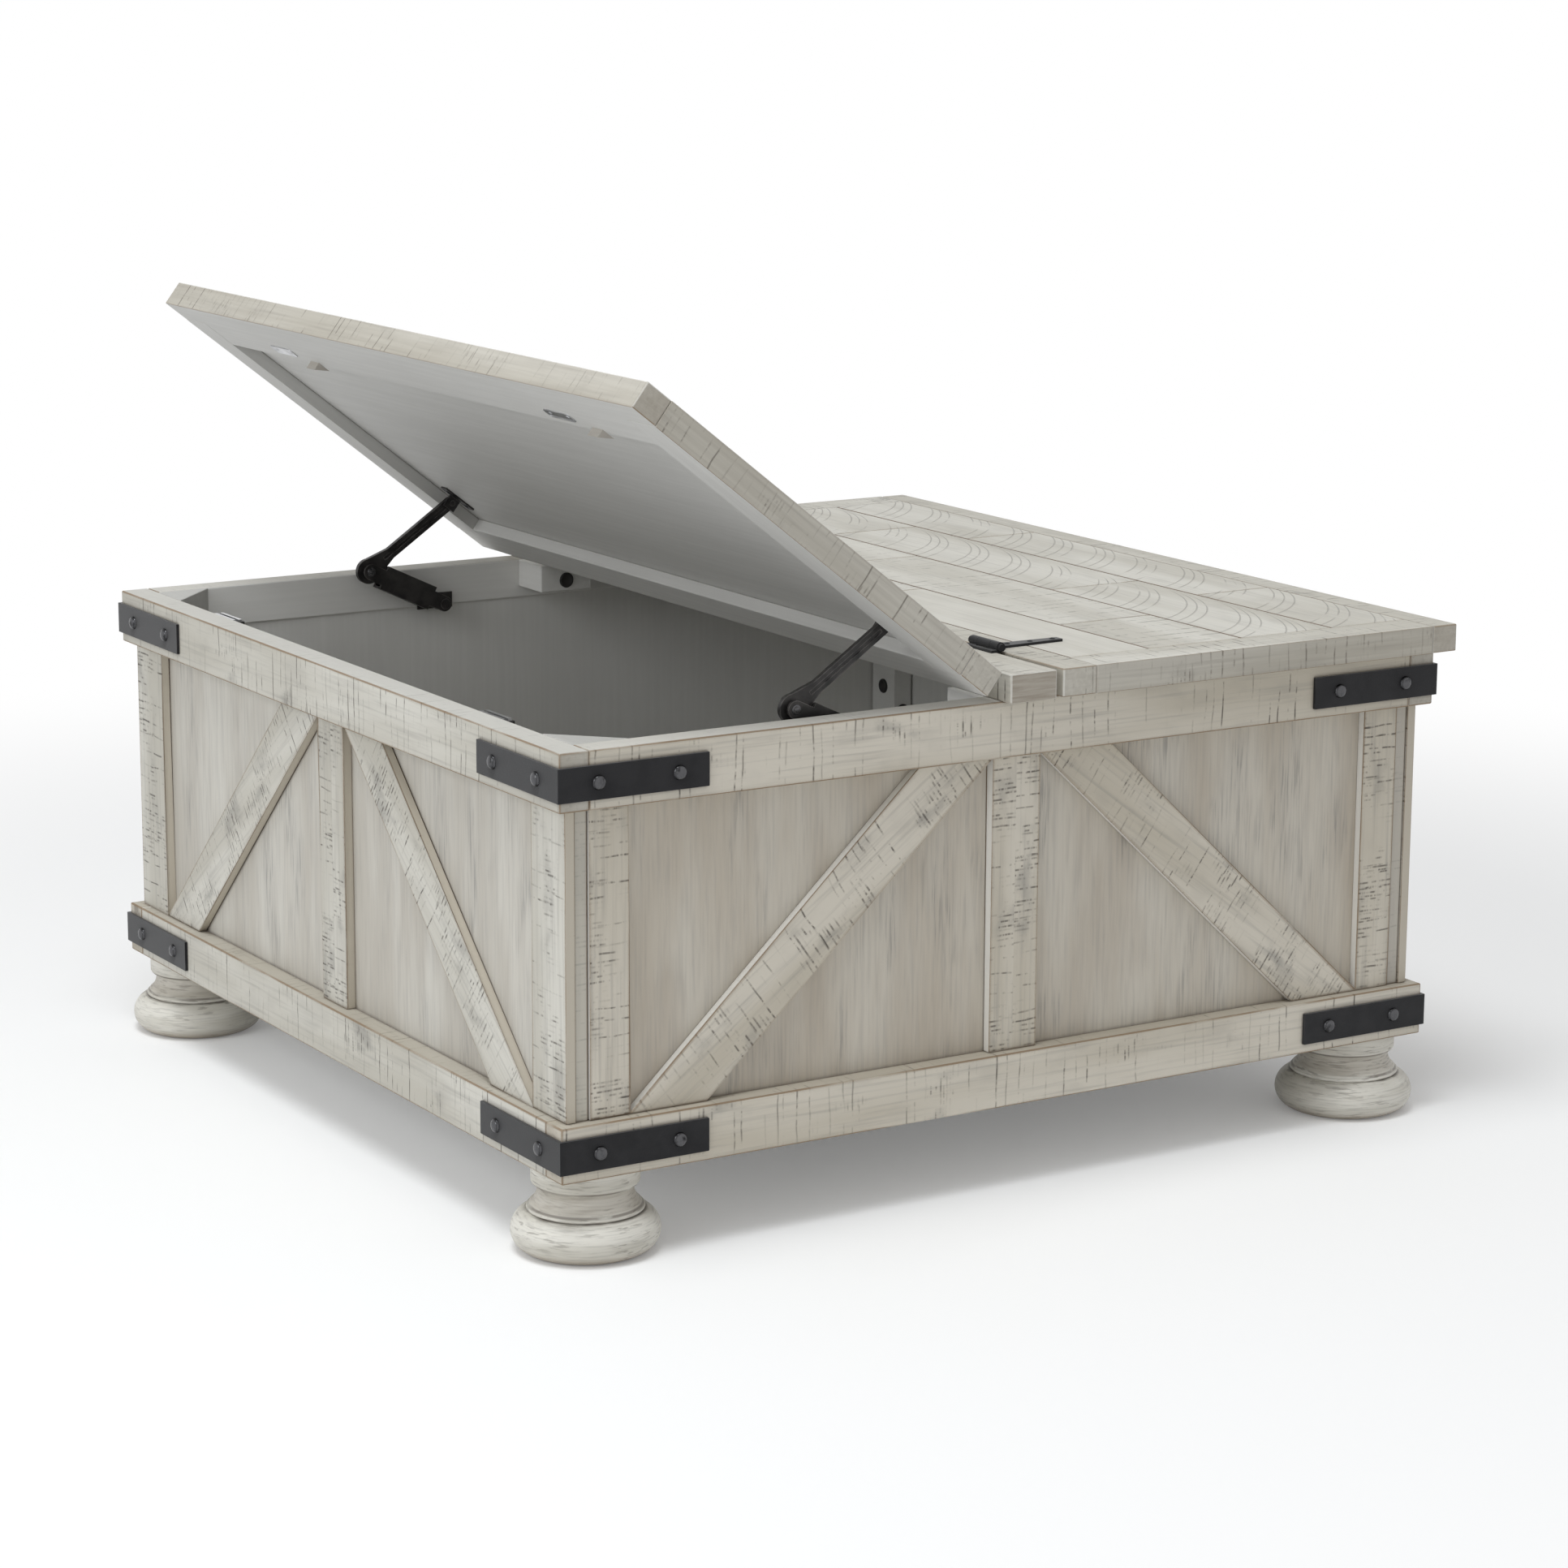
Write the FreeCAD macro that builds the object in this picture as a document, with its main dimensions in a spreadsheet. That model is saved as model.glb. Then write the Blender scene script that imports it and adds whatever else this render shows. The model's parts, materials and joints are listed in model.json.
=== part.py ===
import FreeCAD, Part
import os
import re

import Sketcher

# Square storage coffee table with two planked lids hinged on a centre strip.
# Millimetres, +Z up, +X to the right along the front, +Y to the back.
# The origin is on the floor, under the middle of the table.

doc = FreeCAD.newDocument("CoffeeTable")
sheet = doc.addObject("Spreadsheet::Sheet", "dims")

DRIVING = {
    # carcass
    "rail_width": 930.0,
    "rail_depth": 916.0,
    "rail_thickness": 28.0,
    "base_rail_height": 49.0,
    "wall_height": 271.0,
    "upper_rail_height": 51.0,
    "slab_thickness": 26.0,
    "rabbet_height": 11.0,
    "trim_inset": 10.5,
    "trim_thickness": 9.0,
    "panel_thickness": 6.0,
    "floor_thickness": 15.0,
    # applied trim on the walls
    "side_stile_width": 60.0,
    "front_stile_width": 38.0,
    "corner_batten_width": 13.0,
    "corner_batten_thickness": 7.0,
    "trim_gap": 0.8,
    "centre_stile_width": 51.0,
    "brace_cut": 76.0,
    # turned feet
    "foot_inset": 50.0,
    "bun_radius": 65.0,
    "sole_radius": 49.8,
    "neck_radius": 42.0,
    "neck_flare": 48.6,
    "neck_sag": 2.6,
    "collar_radius": 47.2,
    "bun_height": 36.0,
    "lip_height": 3.5,
    "lip_bulge": 1.5,
    "neck_height": 16.5,
    "neck_slope": 2.0,
    "collar_curl": 4.0,
    "collar_sag": 1.3,
    "collar_height": 14.0,
    "bolt_radius": 4.0,
    "bolt_depth": 38.0,
    "bolt_clearance": 0.15,
    # corner posts, corner blocks and capped bolts
    "post_width": 22.0,
    "post_depth": 44.0,
    "block_leg": 54.0,
    "block_height": 38.0,
    "cap_radius": 8.0,
    "cap_rise": 2.0,
    "side_bolt_level": 272.0,
    "end_bolt_level": 246.0,
    "bolt_pair_drop": 105.0,
    "cleat_bolt_drop": 19.0,
    "rail_bolt_drop": 31.5,
    # corner straps
    "strap_length": 142.0,
    "strap_height": 29.5,
    "strap_thickness": 3.0,
    "strap_lift": 9.2,
    "rivet_near": 35.5,
    "rivet_far": 113.0,
    "rivet_radius": 6.5,
    "rivet_rise": 4.0,
    # centre strip and lids
    "strip_width": 49.0,
    "cleat_width": 60.0,
    "cleat_depth": 50.0,
    "cleat_height": 28.0,
    "lid_gap": 7.0,
    "lid_seat": 0.4,
    "overhang_x": 15.0,
    "overhang_y": 14.0,
    "hinge_border": 36.0,
    "edge_border": 28.0,
    "end_border": 42.0,
    "hinge_tongue": 10.0,
    "edge_tongue": 38.0,
    "end_tongue": 4.0,
    "tongue_thickness": 13.0,
    "plank_thickness": 8.0,
    "plank_width": 105.0,
    "plank_gap": 0.8,
    "joint_row_one": -223.0,
    "joint_row_two": -128.0,
    "joint_row_three": -290.0,
    "joint_row_four": -60.0,
    "joint_span": 398.0,
    "lid_open_angle": 37.8,
    # strap hinges
    "hinge_station": 357.0,
    "barrel_radius": 4.5,
    "barrel_lift": 0.3,
    "barrel_length": 44.0,
    "strap_knuckle": 20.0,
    "knuckle_gap": 0.4,
    "knuckle_clear": 1.0,
    "pin_radius": 2.2,
    "pin_clearance": 0.05,
    "pin_head_radius": 3.4,
    "pin_head_length": 3.0,
    "leaf_thickness": 2.5,
    "butt_reach": 10.0,
    "strap_reach": 80.0,
    "strap_root": 16.0,
    "strap_tip": 10.0,
    "screw_radius": 3.0,
    "screw_rise": 0.9,
    "screw_first": 22.0,
    "screw_step": 25.0,
    # lid stays
    "stay_inset": 45.0,
    "base_pivot_x": 129.3,
    "base_pivot_drop": 34.8,
    "lid_pivot_reach": 94.75,
    "lid_pivot_drop": 7.8,
    "channel_length": 92.74,
    "arm_length": 114.1,
    "channel_width": 16.0,
    "channel_height": 25.0,
    "cheek_thickness": 2.5,
    "web_clear": 16.0,
    "lug_radius": 8.0,
    "stay_pin_radius": 3.0,
    "stay_head_radius": 5.5,
    "stay_head_rise": 1.5,
    "arm_thickness": 5.0,
    "arm_height": 12.0,
    "elbow_radius": 13.0,
    "elbow_taper": 30.0,
    "groove_height": 3.2,
    "groove_depth": 0.8,
    "groove_start": 21.0,
    "groove_end": 6.0,
    "bracket_thickness": 2.0,
    "bracket_length": 40.0,
    "bracket_height": 16.0,
    "ear_gap": 0.7,
    "ear_half": 7.0,
    "lid_plate_depth": 12.0,
    "bracket_screw_spread": 26.0,
    # magnetic catches
    "catch_station": 278.0,
    "catch_length": 48.0,
    "catch_width": 14.0,
    "catch_height": 14.0,
    "catch_drop": 1.6,
    "bar_width": 3.5,
    "bar_rise": 2.0,
    "bar_inset": 2.0,
    "strike_length": 46.0,
    "strike_width": 12.0,
    "strike_thickness": 1.0,
    "wedge_offset": 52.0,
    "wedge_length": 18.0,
    "wedge_width": 14.0,
    "wedge_rise": 8.0,
    "wedge_clear": 3.0,
}

DERIVED = {
    "half_width": "rail_width / 2",
    "half_depth": "rail_depth / 2",
    "bun_bulge": "bun_radius - sole_radius",
    "bun_round": "(bun_bulge * bun_bulge + bun_height * bun_height / 4) / (2 * bun_bulge)",
    "lip_top": "bun_height + lip_height",
    "neck_low": "lip_top + neck_slope",
    "neck_high": "neck_low + neck_height",
    "lip_round": "(lip_bulge * lip_bulge + lip_height * lip_height / 4) / (2 * lip_bulge)",
    "neck_rake": "neck_flare - neck_radius",
    "neck_chord": "sqrt(neck_rake * neck_rake + neck_height * neck_height)",
    "neck_round": "(neck_sag * neck_sag + neck_chord * neck_chord / 4) / (2 * neck_sag)",
    "collar_low": "neck_high + collar_curl",
    "collar_rake": "collar_radius - neck_radius",
    "collar_chord": "sqrt(collar_rake * collar_rake + collar_curl * collar_curl)",
    "collar_round": "(collar_sag * collar_sag + collar_chord * collar_chord / 4) / (2 * collar_sag)",
    "foot_height": "collar_low + collar_height",
    "base_top": "foot_height + base_rail_height",
    "wall_top": "base_top + wall_height",
    "rim": "wall_top + upper_rail_height",
    "table_top": "rim + slab_thickness",
    "floor_top": "foot_height + floor_thickness",
    "panel_inset": "trim_inset + trim_thickness",
    "panel_back": "panel_inset + panel_thickness",
    "inner_x": "half_width - rail_thickness",
    "inner_y": "half_depth - rail_thickness",
    "front_stile_edge": "half_width - panel_inset - corner_batten_width - trim_gap",
    "strip_half": "strip_width / 2",
    "lid_start": "strip_half + lid_gap",
    "lid_end": "half_width + overhang_x",
    "lid_half": "half_depth + overhang_y",
    "lid_base": "rim + lid_seat",
    "tongue_top": "lid_base + tongue_thickness",
    "plank_base": "table_top - plank_thickness",
    "field_start": "lid_start + hinge_border",
    "field_end": "lid_end - edge_border",
    "field_half": "lid_half - end_border",
    "outer_row": "(field_end - field_start - 2 * plank_width) / 2",
    "hinge_x": "strip_half + lid_gap / 2",
    "hinge_z": "table_top + barrel_lift + barrel_radius",
    "bore_radius": "pin_radius + pin_clearance",
    "stay_bore": "stay_pin_radius + pin_clearance",
    "stay_station": "half_depth - stay_inset",
    "base_pivot_z": "rim - base_pivot_drop",
    "lid_pivot_x": "hinge_x + lid_pivot_reach",
    "lid_pivot_z": "tongue_top - lid_pivot_drop",
    "lid_pivot_sink": "hinge_z - lid_pivot_z",
    "shut_end_x": "lid_pivot_x",
    "shut_end_z": "lid_pivot_z",
    "open_end_x": "hinge_x + lid_pivot_reach * cos(lid_open_angle) + lid_pivot_sink * sin(lid_open_angle)",
    "open_end_z": "hinge_z + lid_pivot_reach * sin(lid_open_angle) - lid_pivot_sink * cos(lid_open_angle)",
    "rivet_ball": "(rivet_radius * rivet_radius + rivet_rise * rivet_rise) / (2 * rivet_rise)",
}

# The stay's elbow is where the channel, swung from the rail, meets the arm, swung from the lid.
# Sizes are those of the right-hand stay; angles are those of the left-hand one, from +X towards +Z.
ELBOW = {
    "run": "POSE_end_x - base_pivot_x",
    "climb": "POSE_end_z - base_pivot_z",
    "span": "sqrt(POSE_run * POSE_run + POSE_climb * POSE_climb)",
    "along": "(channel_length * channel_length - arm_length * arm_length) / (2 * POSE_span) + POSE_span / 2",
    "out": "sqrt(channel_length * channel_length - POSE_along * POSE_along)",
    "elbow_x": "base_pivot_x + (POSE_along * POSE_run + POSE_out * POSE_climb) / POSE_span",
    "elbow_z": "base_pivot_z + (POSE_along * POSE_climb - POSE_out * POSE_run) / POSE_span",
    "channel_angle": "180 - atan2(POSE_elbow_z - base_pivot_z; POSE_elbow_x - base_pivot_x) / 1 deg",
    "arm_angle": "180 - atan2(POSE_end_z - POSE_elbow_z; POSE_end_x - POSE_elbow_x) / 1 deg",
}
for pose in ("open", "shut"):
    DERIVED.update({f"{pose}_{word}": text.replace("POSE", pose) for word, text in ELBOW.items()})

for row, (alias, number) in enumerate(DRIVING.items(), start=1):
    sheet.set(f"A{row}", str(number))
    sheet.setAlias(f"A{row}", alias)
for row, (alias, formula) in enumerate(DERIVED.items(), start=1):
    sheet.set(f"B{row}", "=" + formula)
    sheet.setAlias(f"B{row}", alias)
doc.recompute()

ALIASES = set(DRIVING) | set(DERIVED)
BASE = ("Placement.Base.x", "Placement.Base.y", "Placement.Base.z")
X_AXIS = FreeCAD.Vector(1, 0, 0)
Y_AXIS = FreeCAD.Vector(0, 1, 0)
Z_AXIS = FreeCAD.Vector(0, 0, 1)
LEFT, RIGHT = -1, 1
SIDES = {"left": LEFT, "right": RIGHT}
ENDS = {"front": -1, "back": 1}

parts = []


# Helpers: formulas use the sheet's aliases as plain words.

def formula(text):
    return re.sub(r"[a-z_]+", lambda m: "dims." + m[0] if m[0] in ALIASES else m[0], str(text))


def value(text):
    return float(sheet.evalExpression(formula(text)))


def bind(item, properties, formulas):
    for name, text in zip(properties, formulas):
        item.setExpression(name, formula(text))
    return item


def part(item, label):
    item.Label = label
    parts.append(item)
    return item


def box(name, size, corner):
    item = doc.addObject("Part::Box", name)
    bind(item, ("Length", "Width", "Height"), size)
    return bind(item, BASE, corner)


def cylinder(name, radius, height, foot, axis=Z_AXIS):
    item = doc.addObject("Part::Cylinder", name)
    item.Placement.Rotation = FreeCAD.Rotation(Z_AXIS, axis)
    bind(item, ("Radius", "Height"), (radius, height))
    return bind(item, BASE, foot)


def fuse(name, items):
    item = doc.addObject("Part::MultiFuse", name)
    item.Shapes = items
    item.Refine = True
    return item


def cut(name, base, tool):
    item = doc.addObject("Part::Cut", name)
    item.Base = base
    item.Tool = tool
    return item


def group(name, items):
    item = doc.addObject("Part::Compound", name)
    item.Links = items
    return item


def mirrored(side, start, width):
    """Low corner of a span that starts at start and runs outwards on one side."""
    return start if side > 0 else f"-({start}) - ({width})"


def signed(side, text):
    return text if side > 0 else f"-({text})"


def origin_plane(body, role):
    return next(item for item in body.Origin.OriginFeatures if item.Role == role)


def outline(body, name, role, corners, arcs=None):
    """Closed sketch through the corners; arcs maps a corner's number to (radius, point on the arc)."""
    arcs = arcs or {}
    sketch = body.newObject("Sketcher::SketchObject", name)
    sketch.AttachmentSupport = [(origin_plane(body, role), "")]
    sketch.MapMode = "FlatFace"
    points = [FreeCAD.Vector(value(x), value(y), 0) for x, y in corners]
    count = len(points)
    ends = []
    for i, start in enumerate(points):
        finish = points[(i + 1) % count]
        if i in arcs:
            through = FreeCAD.Vector(*(value(t) for t in arcs[i][1]), 0)
            edge = Part.Arc(start, through, finish)
            sketch.addGeometry(edge, False)
            turns_left = (through - start).cross(finish - through).z > 0
            ends.append((1, 2) if turns_left else (2, 1))
        else:
            sketch.addGeometry(Part.LineSegment(start, finish), False)
            ends.append((1, 2))
    for i in range(count):
        after = (i + 1) % count
        sketch.addConstraint(Sketcher.Constraint("Coincident", i, ends[i][1], after, ends[after][0]))
    for i, (x, y) in enumerate(corners):
        for kind, axis, text, now in (("DistanceX", -2, x, points[i].x), ("DistanceY", -1, y, points[i].y)):
            if text == "0":
                sketch.addConstraint(Sketcher.Constraint("PointOnObject", i, ends[i][0], axis))
            else:
                number = sketch.addConstraint(Sketcher.Constraint(kind, -1, 1, i, ends[i][0], now))
                sketch.setExpression(f"Constraints[{number}]", formula(text))
    for i, (radius, _) in arcs.items():
        number = sketch.addConstraint(Sketcher.Constraint("Radius", i, value(radius)))
        sketch.setExpression(f"Constraints[{number}]", formula(radius))
    return sketch


def prism(name, role, corners, length, corner=("0", "0", "0")):
    """Padded outline: along -Y from the XZ plane, +X from the YZ plane and +Z from the XY plane."""
    body = doc.addObject("PartDesign::Body", name)
    sketch = outline(body, name + "_outline", role, corners)
    pad = body.newObject("PartDesign::Pad", name + "_pad")
    pad.Profile = sketch
    bind(pad, ("Length",), (length,))
    return bind(body, BASE, corner)


def swing(item, side):
    """Turn a left lid piece about the hinge axis to its open pose; the right lid stays shut."""
    if side == LEFT:
        item.Placement.Rotation = FreeCAD.Rotation(Y_AXIS, value("lid_open_angle"))
        bind(item, ("Placement.Rotation.Angle",), ("lid_open_angle",))
        bind(item, BASE, (
            "-hinge_x * (1 - cos(lid_open_angle)) - hinge_z * sin(lid_open_angle)",
            "0",
            "hinge_z * (1 - cos(lid_open_angle)) - hinge_x * sin(lid_open_angle)",
        ))
    return item


# Rails, butted at the corners: at the base the front and back ones run through, at the rim the side ones do.
# A step on the inner edge takes the wall panel.

RAIL_WORDS = {
    True: ("rail_width", "inner_x", "half_width", "half_depth"),
    False: ("rail_depth", "inner_y", "half_depth", "half_width"),
}


def rail(name, height, low, step_low, place, through):
    side, along_x = place
    reach, inner, half, out = RAIL_WORDS[along_x]
    length, start = (reach, f"-{half}") if through else (f"2 * {inner}", f"-{inner}")
    step_length, step_start = length, start
    if through:
        step_length, step_start = f"{reach} - 2 * panel_inset", f"-{half} + panel_inset"
    step_depth = "rail_thickness - panel_inset"
    across = mirrored(side, f"{out} - rail_thickness", "rail_thickness")
    step_across = mirrored(side, f"{out} - rail_thickness", step_depth)
    if along_x:
        board = box(name + "_board", (length, "rail_thickness", height), (start, across, low))
        step = box(name + "_step", (step_length, step_depth, "rabbet_height"),
                   (step_start, step_across, step_low))
    else:
        board = box(name + "_board", ("rail_thickness", length, height), (across, start, low))
        step = box(name + "_step", (step_depth, step_length, "rabbet_height"),
                   (step_across, step_start, step_low))
    part(cut(name, board, step), name)


WALLS = {"front": (-1, True), "back": (1, True), "left": (-1, False), "right": (1, False)}

for wall, place in WALLS.items():
    along_x = place[1]
    rail("base_rail_" + wall, "base_rail_height", "foot_height", "base_top - rabbet_height", place, along_x)
    rail("upper_rail_" + wall, "upper_rail_height", "wall_top", "wall_top", place, not along_x)

# Wall panels, let into the rails' steps.

PANEL_SPAN = ("base_top - rabbet_height", "wall_height + 2 * rabbet_height")

for wall, (side, along_x) in WALLS.items():
    if along_x:
        low = mirrored(side, "half_depth - panel_back", "panel_thickness")
        panel = box("wall_panel_" + wall, ("rail_width - 2 * panel_inset", "panel_thickness", PANEL_SPAN[1]),
                    ("-half_width + panel_inset", low, PANEL_SPAN[0]))
    else:
        low = mirrored(side, "half_width - panel_back", "panel_thickness")
        panel = box("wall_panel_" + wall, ("panel_thickness", "rail_depth - 2 * panel_back", PANEL_SPAN[1]),
                    (low, "-half_depth + panel_back", PANEL_SPAN[0]))
    part(panel, "wall_panel_" + wall)


# Applied trim: corner stiles, a centre stile and two braces that meet at its top.

def braces(wall, side, along_x, outer):
    """Two sloping boards from the foot of the corner stiles to the head of the centre stile."""
    inner = "centre_stile_width / 2"
    boards = []
    for hand in (LEFT, RIGHT):
        corners = [
            (signed(hand, outer), "base_top"),
            (signed(hand, inner + " + brace_cut"), "wall_top"),
            (signed(hand, inner), "wall_top"),
            (signed(hand, f"{outer} - brace_cut"), "base_top"),
        ]
        name = f"brace_{wall}_{'a' if hand == LEFT else 'b'}"
        if along_x:
            shift = mirrored(side, "half_depth - panel_inset", "trim_thickness") + " + trim_thickness"
            boards.append(prism(name, "XZ_Plane", corners, "trim_thickness", ("0", shift, "0")))
        else:
            shift = mirrored(side, "half_width - panel_inset", "trim_thickness")
            boards.append(prism(name, "YZ_Plane", corners, "trim_thickness", (shift, "0", "0")))
    return boards


def front_trim(wall, side):
    y = mirrored(side, "half_depth - panel_inset", "trim_thickness")
    batten_y = mirrored(side, "half_depth - panel_inset", "corner_batten_thickness")
    boards = [box(f"centre_stile_{wall}", ("centre_stile_width", "trim_thickness", "wall_height"),
                  ("-centre_stile_width / 2", y, "base_top"))]
    for hand in (LEFT, RIGHT):
        stile_x = mirrored(hand, "front_stile_edge - front_stile_width", "front_stile_width")
        boards.append(box(f"corner_stile_{wall}", ("front_stile_width", "trim_thickness", "wall_height"),
                          (stile_x, y, "base_top")))
        batten_x = mirrored(hand, "front_stile_edge + trim_gap", "corner_batten_width")
        boards.append(box(f"corner_batten_{wall}",
                          ("corner_batten_width", "corner_batten_thickness", "wall_height"),
                          (batten_x, batten_y, "base_top")))
    return boards + braces(wall, side, True, "(front_stile_edge - front_stile_width)")


def side_trim(wall, side):
    x = mirrored(side, "half_width - panel_inset", "trim_thickness")
    boards = [box(f"centre_stile_{wall}", ("trim_thickness", "centre_stile_width", "wall_height"),
                  (x, "-centre_stile_width / 2", "base_top"))]
    for hand in (LEFT, RIGHT):
        y = mirrored(hand, "half_depth - trim_inset - side_stile_width", "side_stile_width")
        boards.append(box(f"corner_stile_{wall}", ("trim_thickness", "side_stile_width", "wall_height"),
                          (x, y, "base_top")))
    return boards + braces(wall, side, False, "(half_depth - trim_inset - side_stile_width)")


for wall, (side, along_x) in WALLS.items():
    boards = front_trim(wall, side) if along_x else side_trim(wall, side)
    part(group("trim_" + wall, boards), "trim_" + wall)


# Turned bun feet: a bun, a bead, a flared neck and a collar, bored for the rod that hangs each from the floor.

def foot(name, x, y):
    body = doc.addObject("PartDesign::Body", name)
    shaft = "bolt_radius + bolt_clearance"
    corners = [
        ("0", "0"),
        ("sole_radius", "0"),
        ("sole_radius", "bun_height"),
        ("sole_radius", "lip_top"),
        ("neck_flare", "neck_low"),
        ("neck_radius", "neck_high"),
        ("collar_radius", "collar_low"),
        ("collar_radius", "foot_height"),
        (shaft, "foot_height"),
        (shaft, "foot_height - bolt_depth"),
        ("0", "foot_height - bolt_depth"),
    ]
    arcs = {
        1: ("bun_round", ("bun_radius", "bun_height / 2")),
        2: ("lip_round", ("sole_radius + lip_bulge", "bun_height + lip_height / 2")),
        4: ("neck_round", ("(neck_flare + neck_radius) / 2 - neck_sag * neck_height / neck_chord",
                           "(neck_low + neck_high) / 2 - neck_sag * neck_rake / neck_chord")),
        5: ("collar_round", ("(neck_radius + collar_radius) / 2 + collar_sag * collar_curl / collar_chord",
                             "(neck_high + collar_low) / 2 - collar_sag * collar_rake / collar_chord")),
    }
    sketch = outline(body, name + "_profile", "XZ_Plane", corners, arcs)
    turned = body.newObject("PartDesign::Revolution", name + "_turning")
    turned.Profile = sketch
    turned.ReferenceAxis = (sketch, ["V_Axis"])
    turned.Angle = 360
    bind(body, BASE, (x, y, "0"))
    part(body, name)


foot_places = []
for end, end_sign in ENDS.items():
    for hand, hand_sign in SIDES.items():
        x = signed(hand_sign, "half_width - foot_inset")
        y = signed(end_sign, "half_depth - foot_inset")
        foot(f"foot_{end}_{hand}", x, y)
        foot_places.append((x, y))

# Floor board between the base rails, bored for the rods that hang the feet from it.

board = box("floor_board", ("2 * inner_x", "2 * inner_y", "floor_thickness"),
            ("-inner_x", "-inner_y", "foot_height"))
holes = []
bolts = []
for number, (x, y) in enumerate(foot_places):
    holes.append(cylinder(f"floor_hole_{number}", "bolt_radius + bolt_clearance", "floor_thickness",
                          (x, y, "foot_height")))
    bolts.append(cylinder(f"foot_bolt_{number}", "bolt_radius", "bolt_depth + floor_thickness",
                          (x, y, "foot_height - bolt_depth")))
part(cut("floor_panel", board, group("floor_holes", holes)), "floor_panel")
part(group("foot_bolts", bolts), "foot_bolts")

# Corner posts on the floor board, triangular blocks above them, and capped bolts in the posts.

posts = []
blocks = []
caps = []
for end, end_sign in ENDS.items():
    for hand, hand_sign in SIDES.items():
        spot = f"{end}_{hand}"
        post_x = mirrored(hand_sign, "inner_x - post_width", "post_width")
        post_y = mirrored(end_sign, "inner_y - post_depth", "post_depth")
        posts.append(box("post_" + spot, ("post_width", "post_depth", "rim - block_height - floor_top"),
                         (post_x, post_y, "floor_top")))
        corner_x = signed(hand_sign, "inner_x")
        corner_y = signed(end_sign, "inner_y")
        near_x = signed(hand_sign, "inner_x - block_leg")
        near_y = signed(end_sign, "inner_y - block_leg")
        blocks.append(prism("block_" + spot, "XY_Plane",
                            [(corner_x, corner_y), (near_x, corner_y), (corner_x, near_y)],
                            "block_height", ("0", "0", "rim - block_height")))
        for drop in ("0", "bolt_pair_drop"):
            side_face = signed(hand_sign, "inner_x - post_width")
            side_y = signed(end_sign, "inner_y - post_depth / 2")
            caps.append(cylinder("side_cap", "cap_radius", "cap_rise",
                                 (side_face, side_y, "side_bolt_level - " + drop), X_AXIS * -hand_sign))
            end_x = signed(hand_sign, "inner_x - post_width / 2")
            end_face = signed(end_sign, "inner_y - post_depth")
            caps.append(cylinder("end_cap", "cap_radius", "cap_rise",
                                 (end_x, end_face, "end_bolt_level - " + drop), Y_AXIS * -end_sign))

# Centre strip on the front and back rails, carried by a bolted cleat at each end.

strip = box("strip_board", ("strip_width", "2 * lid_half", "slab_thickness"),
            ("-strip_half", "-lid_half", "rim"))
cleats = []
for end, end_sign in ENDS.items():
    y = mirrored(end_sign, "inner_y - cleat_depth", "cleat_depth")
    cleats.append(box("cleat_" + end, ("cleat_width", "cleat_depth", "cleat_height"),
                      ("-cleat_width / 2", y, "rim - cleat_height")))
    caps.append(cylinder("cleat_cap", "cap_radius", "cap_rise",
                         ("0", signed(end_sign, "inner_y - cleat_depth"), "rim - cleat_bolt_drop + cap_rise"),
                         Y_AXIS * -end_sign))
part(group("centre_strip", [strip]), "centre_strip")
part(group("strip_cleats", cleats), "strip_cleats")
part(group("corner_posts", posts), "corner_posts")
part(group("corner_blocks", blocks), "corner_blocks")
part(group("bolt_caps", caps), "bolt_caps")

# Black angle straps round the corners of both rails, with two domed rivets on each arm.

def rivet(name, corner, outward):
    ball = doc.addObject("Part::Sphere", name)
    ball.Placement.Rotation = FreeCAD.Rotation(Z_AXIS, outward)
    bind(ball, ("Radius", "Angle1"), ("rivet_ball", "asin((rivet_ball - rivet_rise) / rivet_ball)"))
    return bind(ball, BASE, corner)


LEVELS = {"base": "foot_height + strap_lift", "upper": "wall_top + strap_lift"}
SINK = "strap_thickness - rivet_ball + rivet_rise"

rivets = []
straps = []
for level, low in LEVELS.items():
    for end, end_sign in ENDS.items():
        for hand, hand_sign in SIDES.items():
            spot = f"{level}_{end}_{hand}"
            long_x = mirrored(hand_sign, "half_width - strap_length", "strap_length + strap_thickness")
            face_y = mirrored(end_sign, "half_depth", "strap_thickness")
            face_x = mirrored(hand_sign, "half_width", "strap_thickness")
            long_y = mirrored(end_sign, "half_depth - strap_length", "strap_length + strap_thickness")
            arm_x = box("strap_x_" + spot, ("strap_length + strap_thickness", "strap_thickness", "strap_height"),
                        (long_x, face_y, low))
            arm_y = box("strap_y_" + spot, ("strap_thickness", "strap_length + strap_thickness", "strap_height"),
                        (face_x, long_y, low))
            straps.append(fuse("strap_" + spot, [arm_x, arm_y]))
            middle = low + " + strap_height / 2"
            for away in ("rivet_near", "rivet_far"):
                rivets.append(rivet("rivet_x", (signed(hand_sign, f"half_width - {away}"),
                                                signed(end_sign, f"half_depth + {SINK}"), middle),
                                    Y_AXIS * end_sign))
                rivets.append(rivet("rivet_y", (signed(hand_sign, f"half_width + {SINK}"),
                                                signed(end_sign, f"half_depth - {away}"), middle),
                                    X_AXIS * hand_sign))
part(group("corner_straps", straps), "corner_straps")
part(group("strap_rivets", rivets), "strap_rivets")


# Lids: border boards with a tongue below that carries the panel and the planks.

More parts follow.
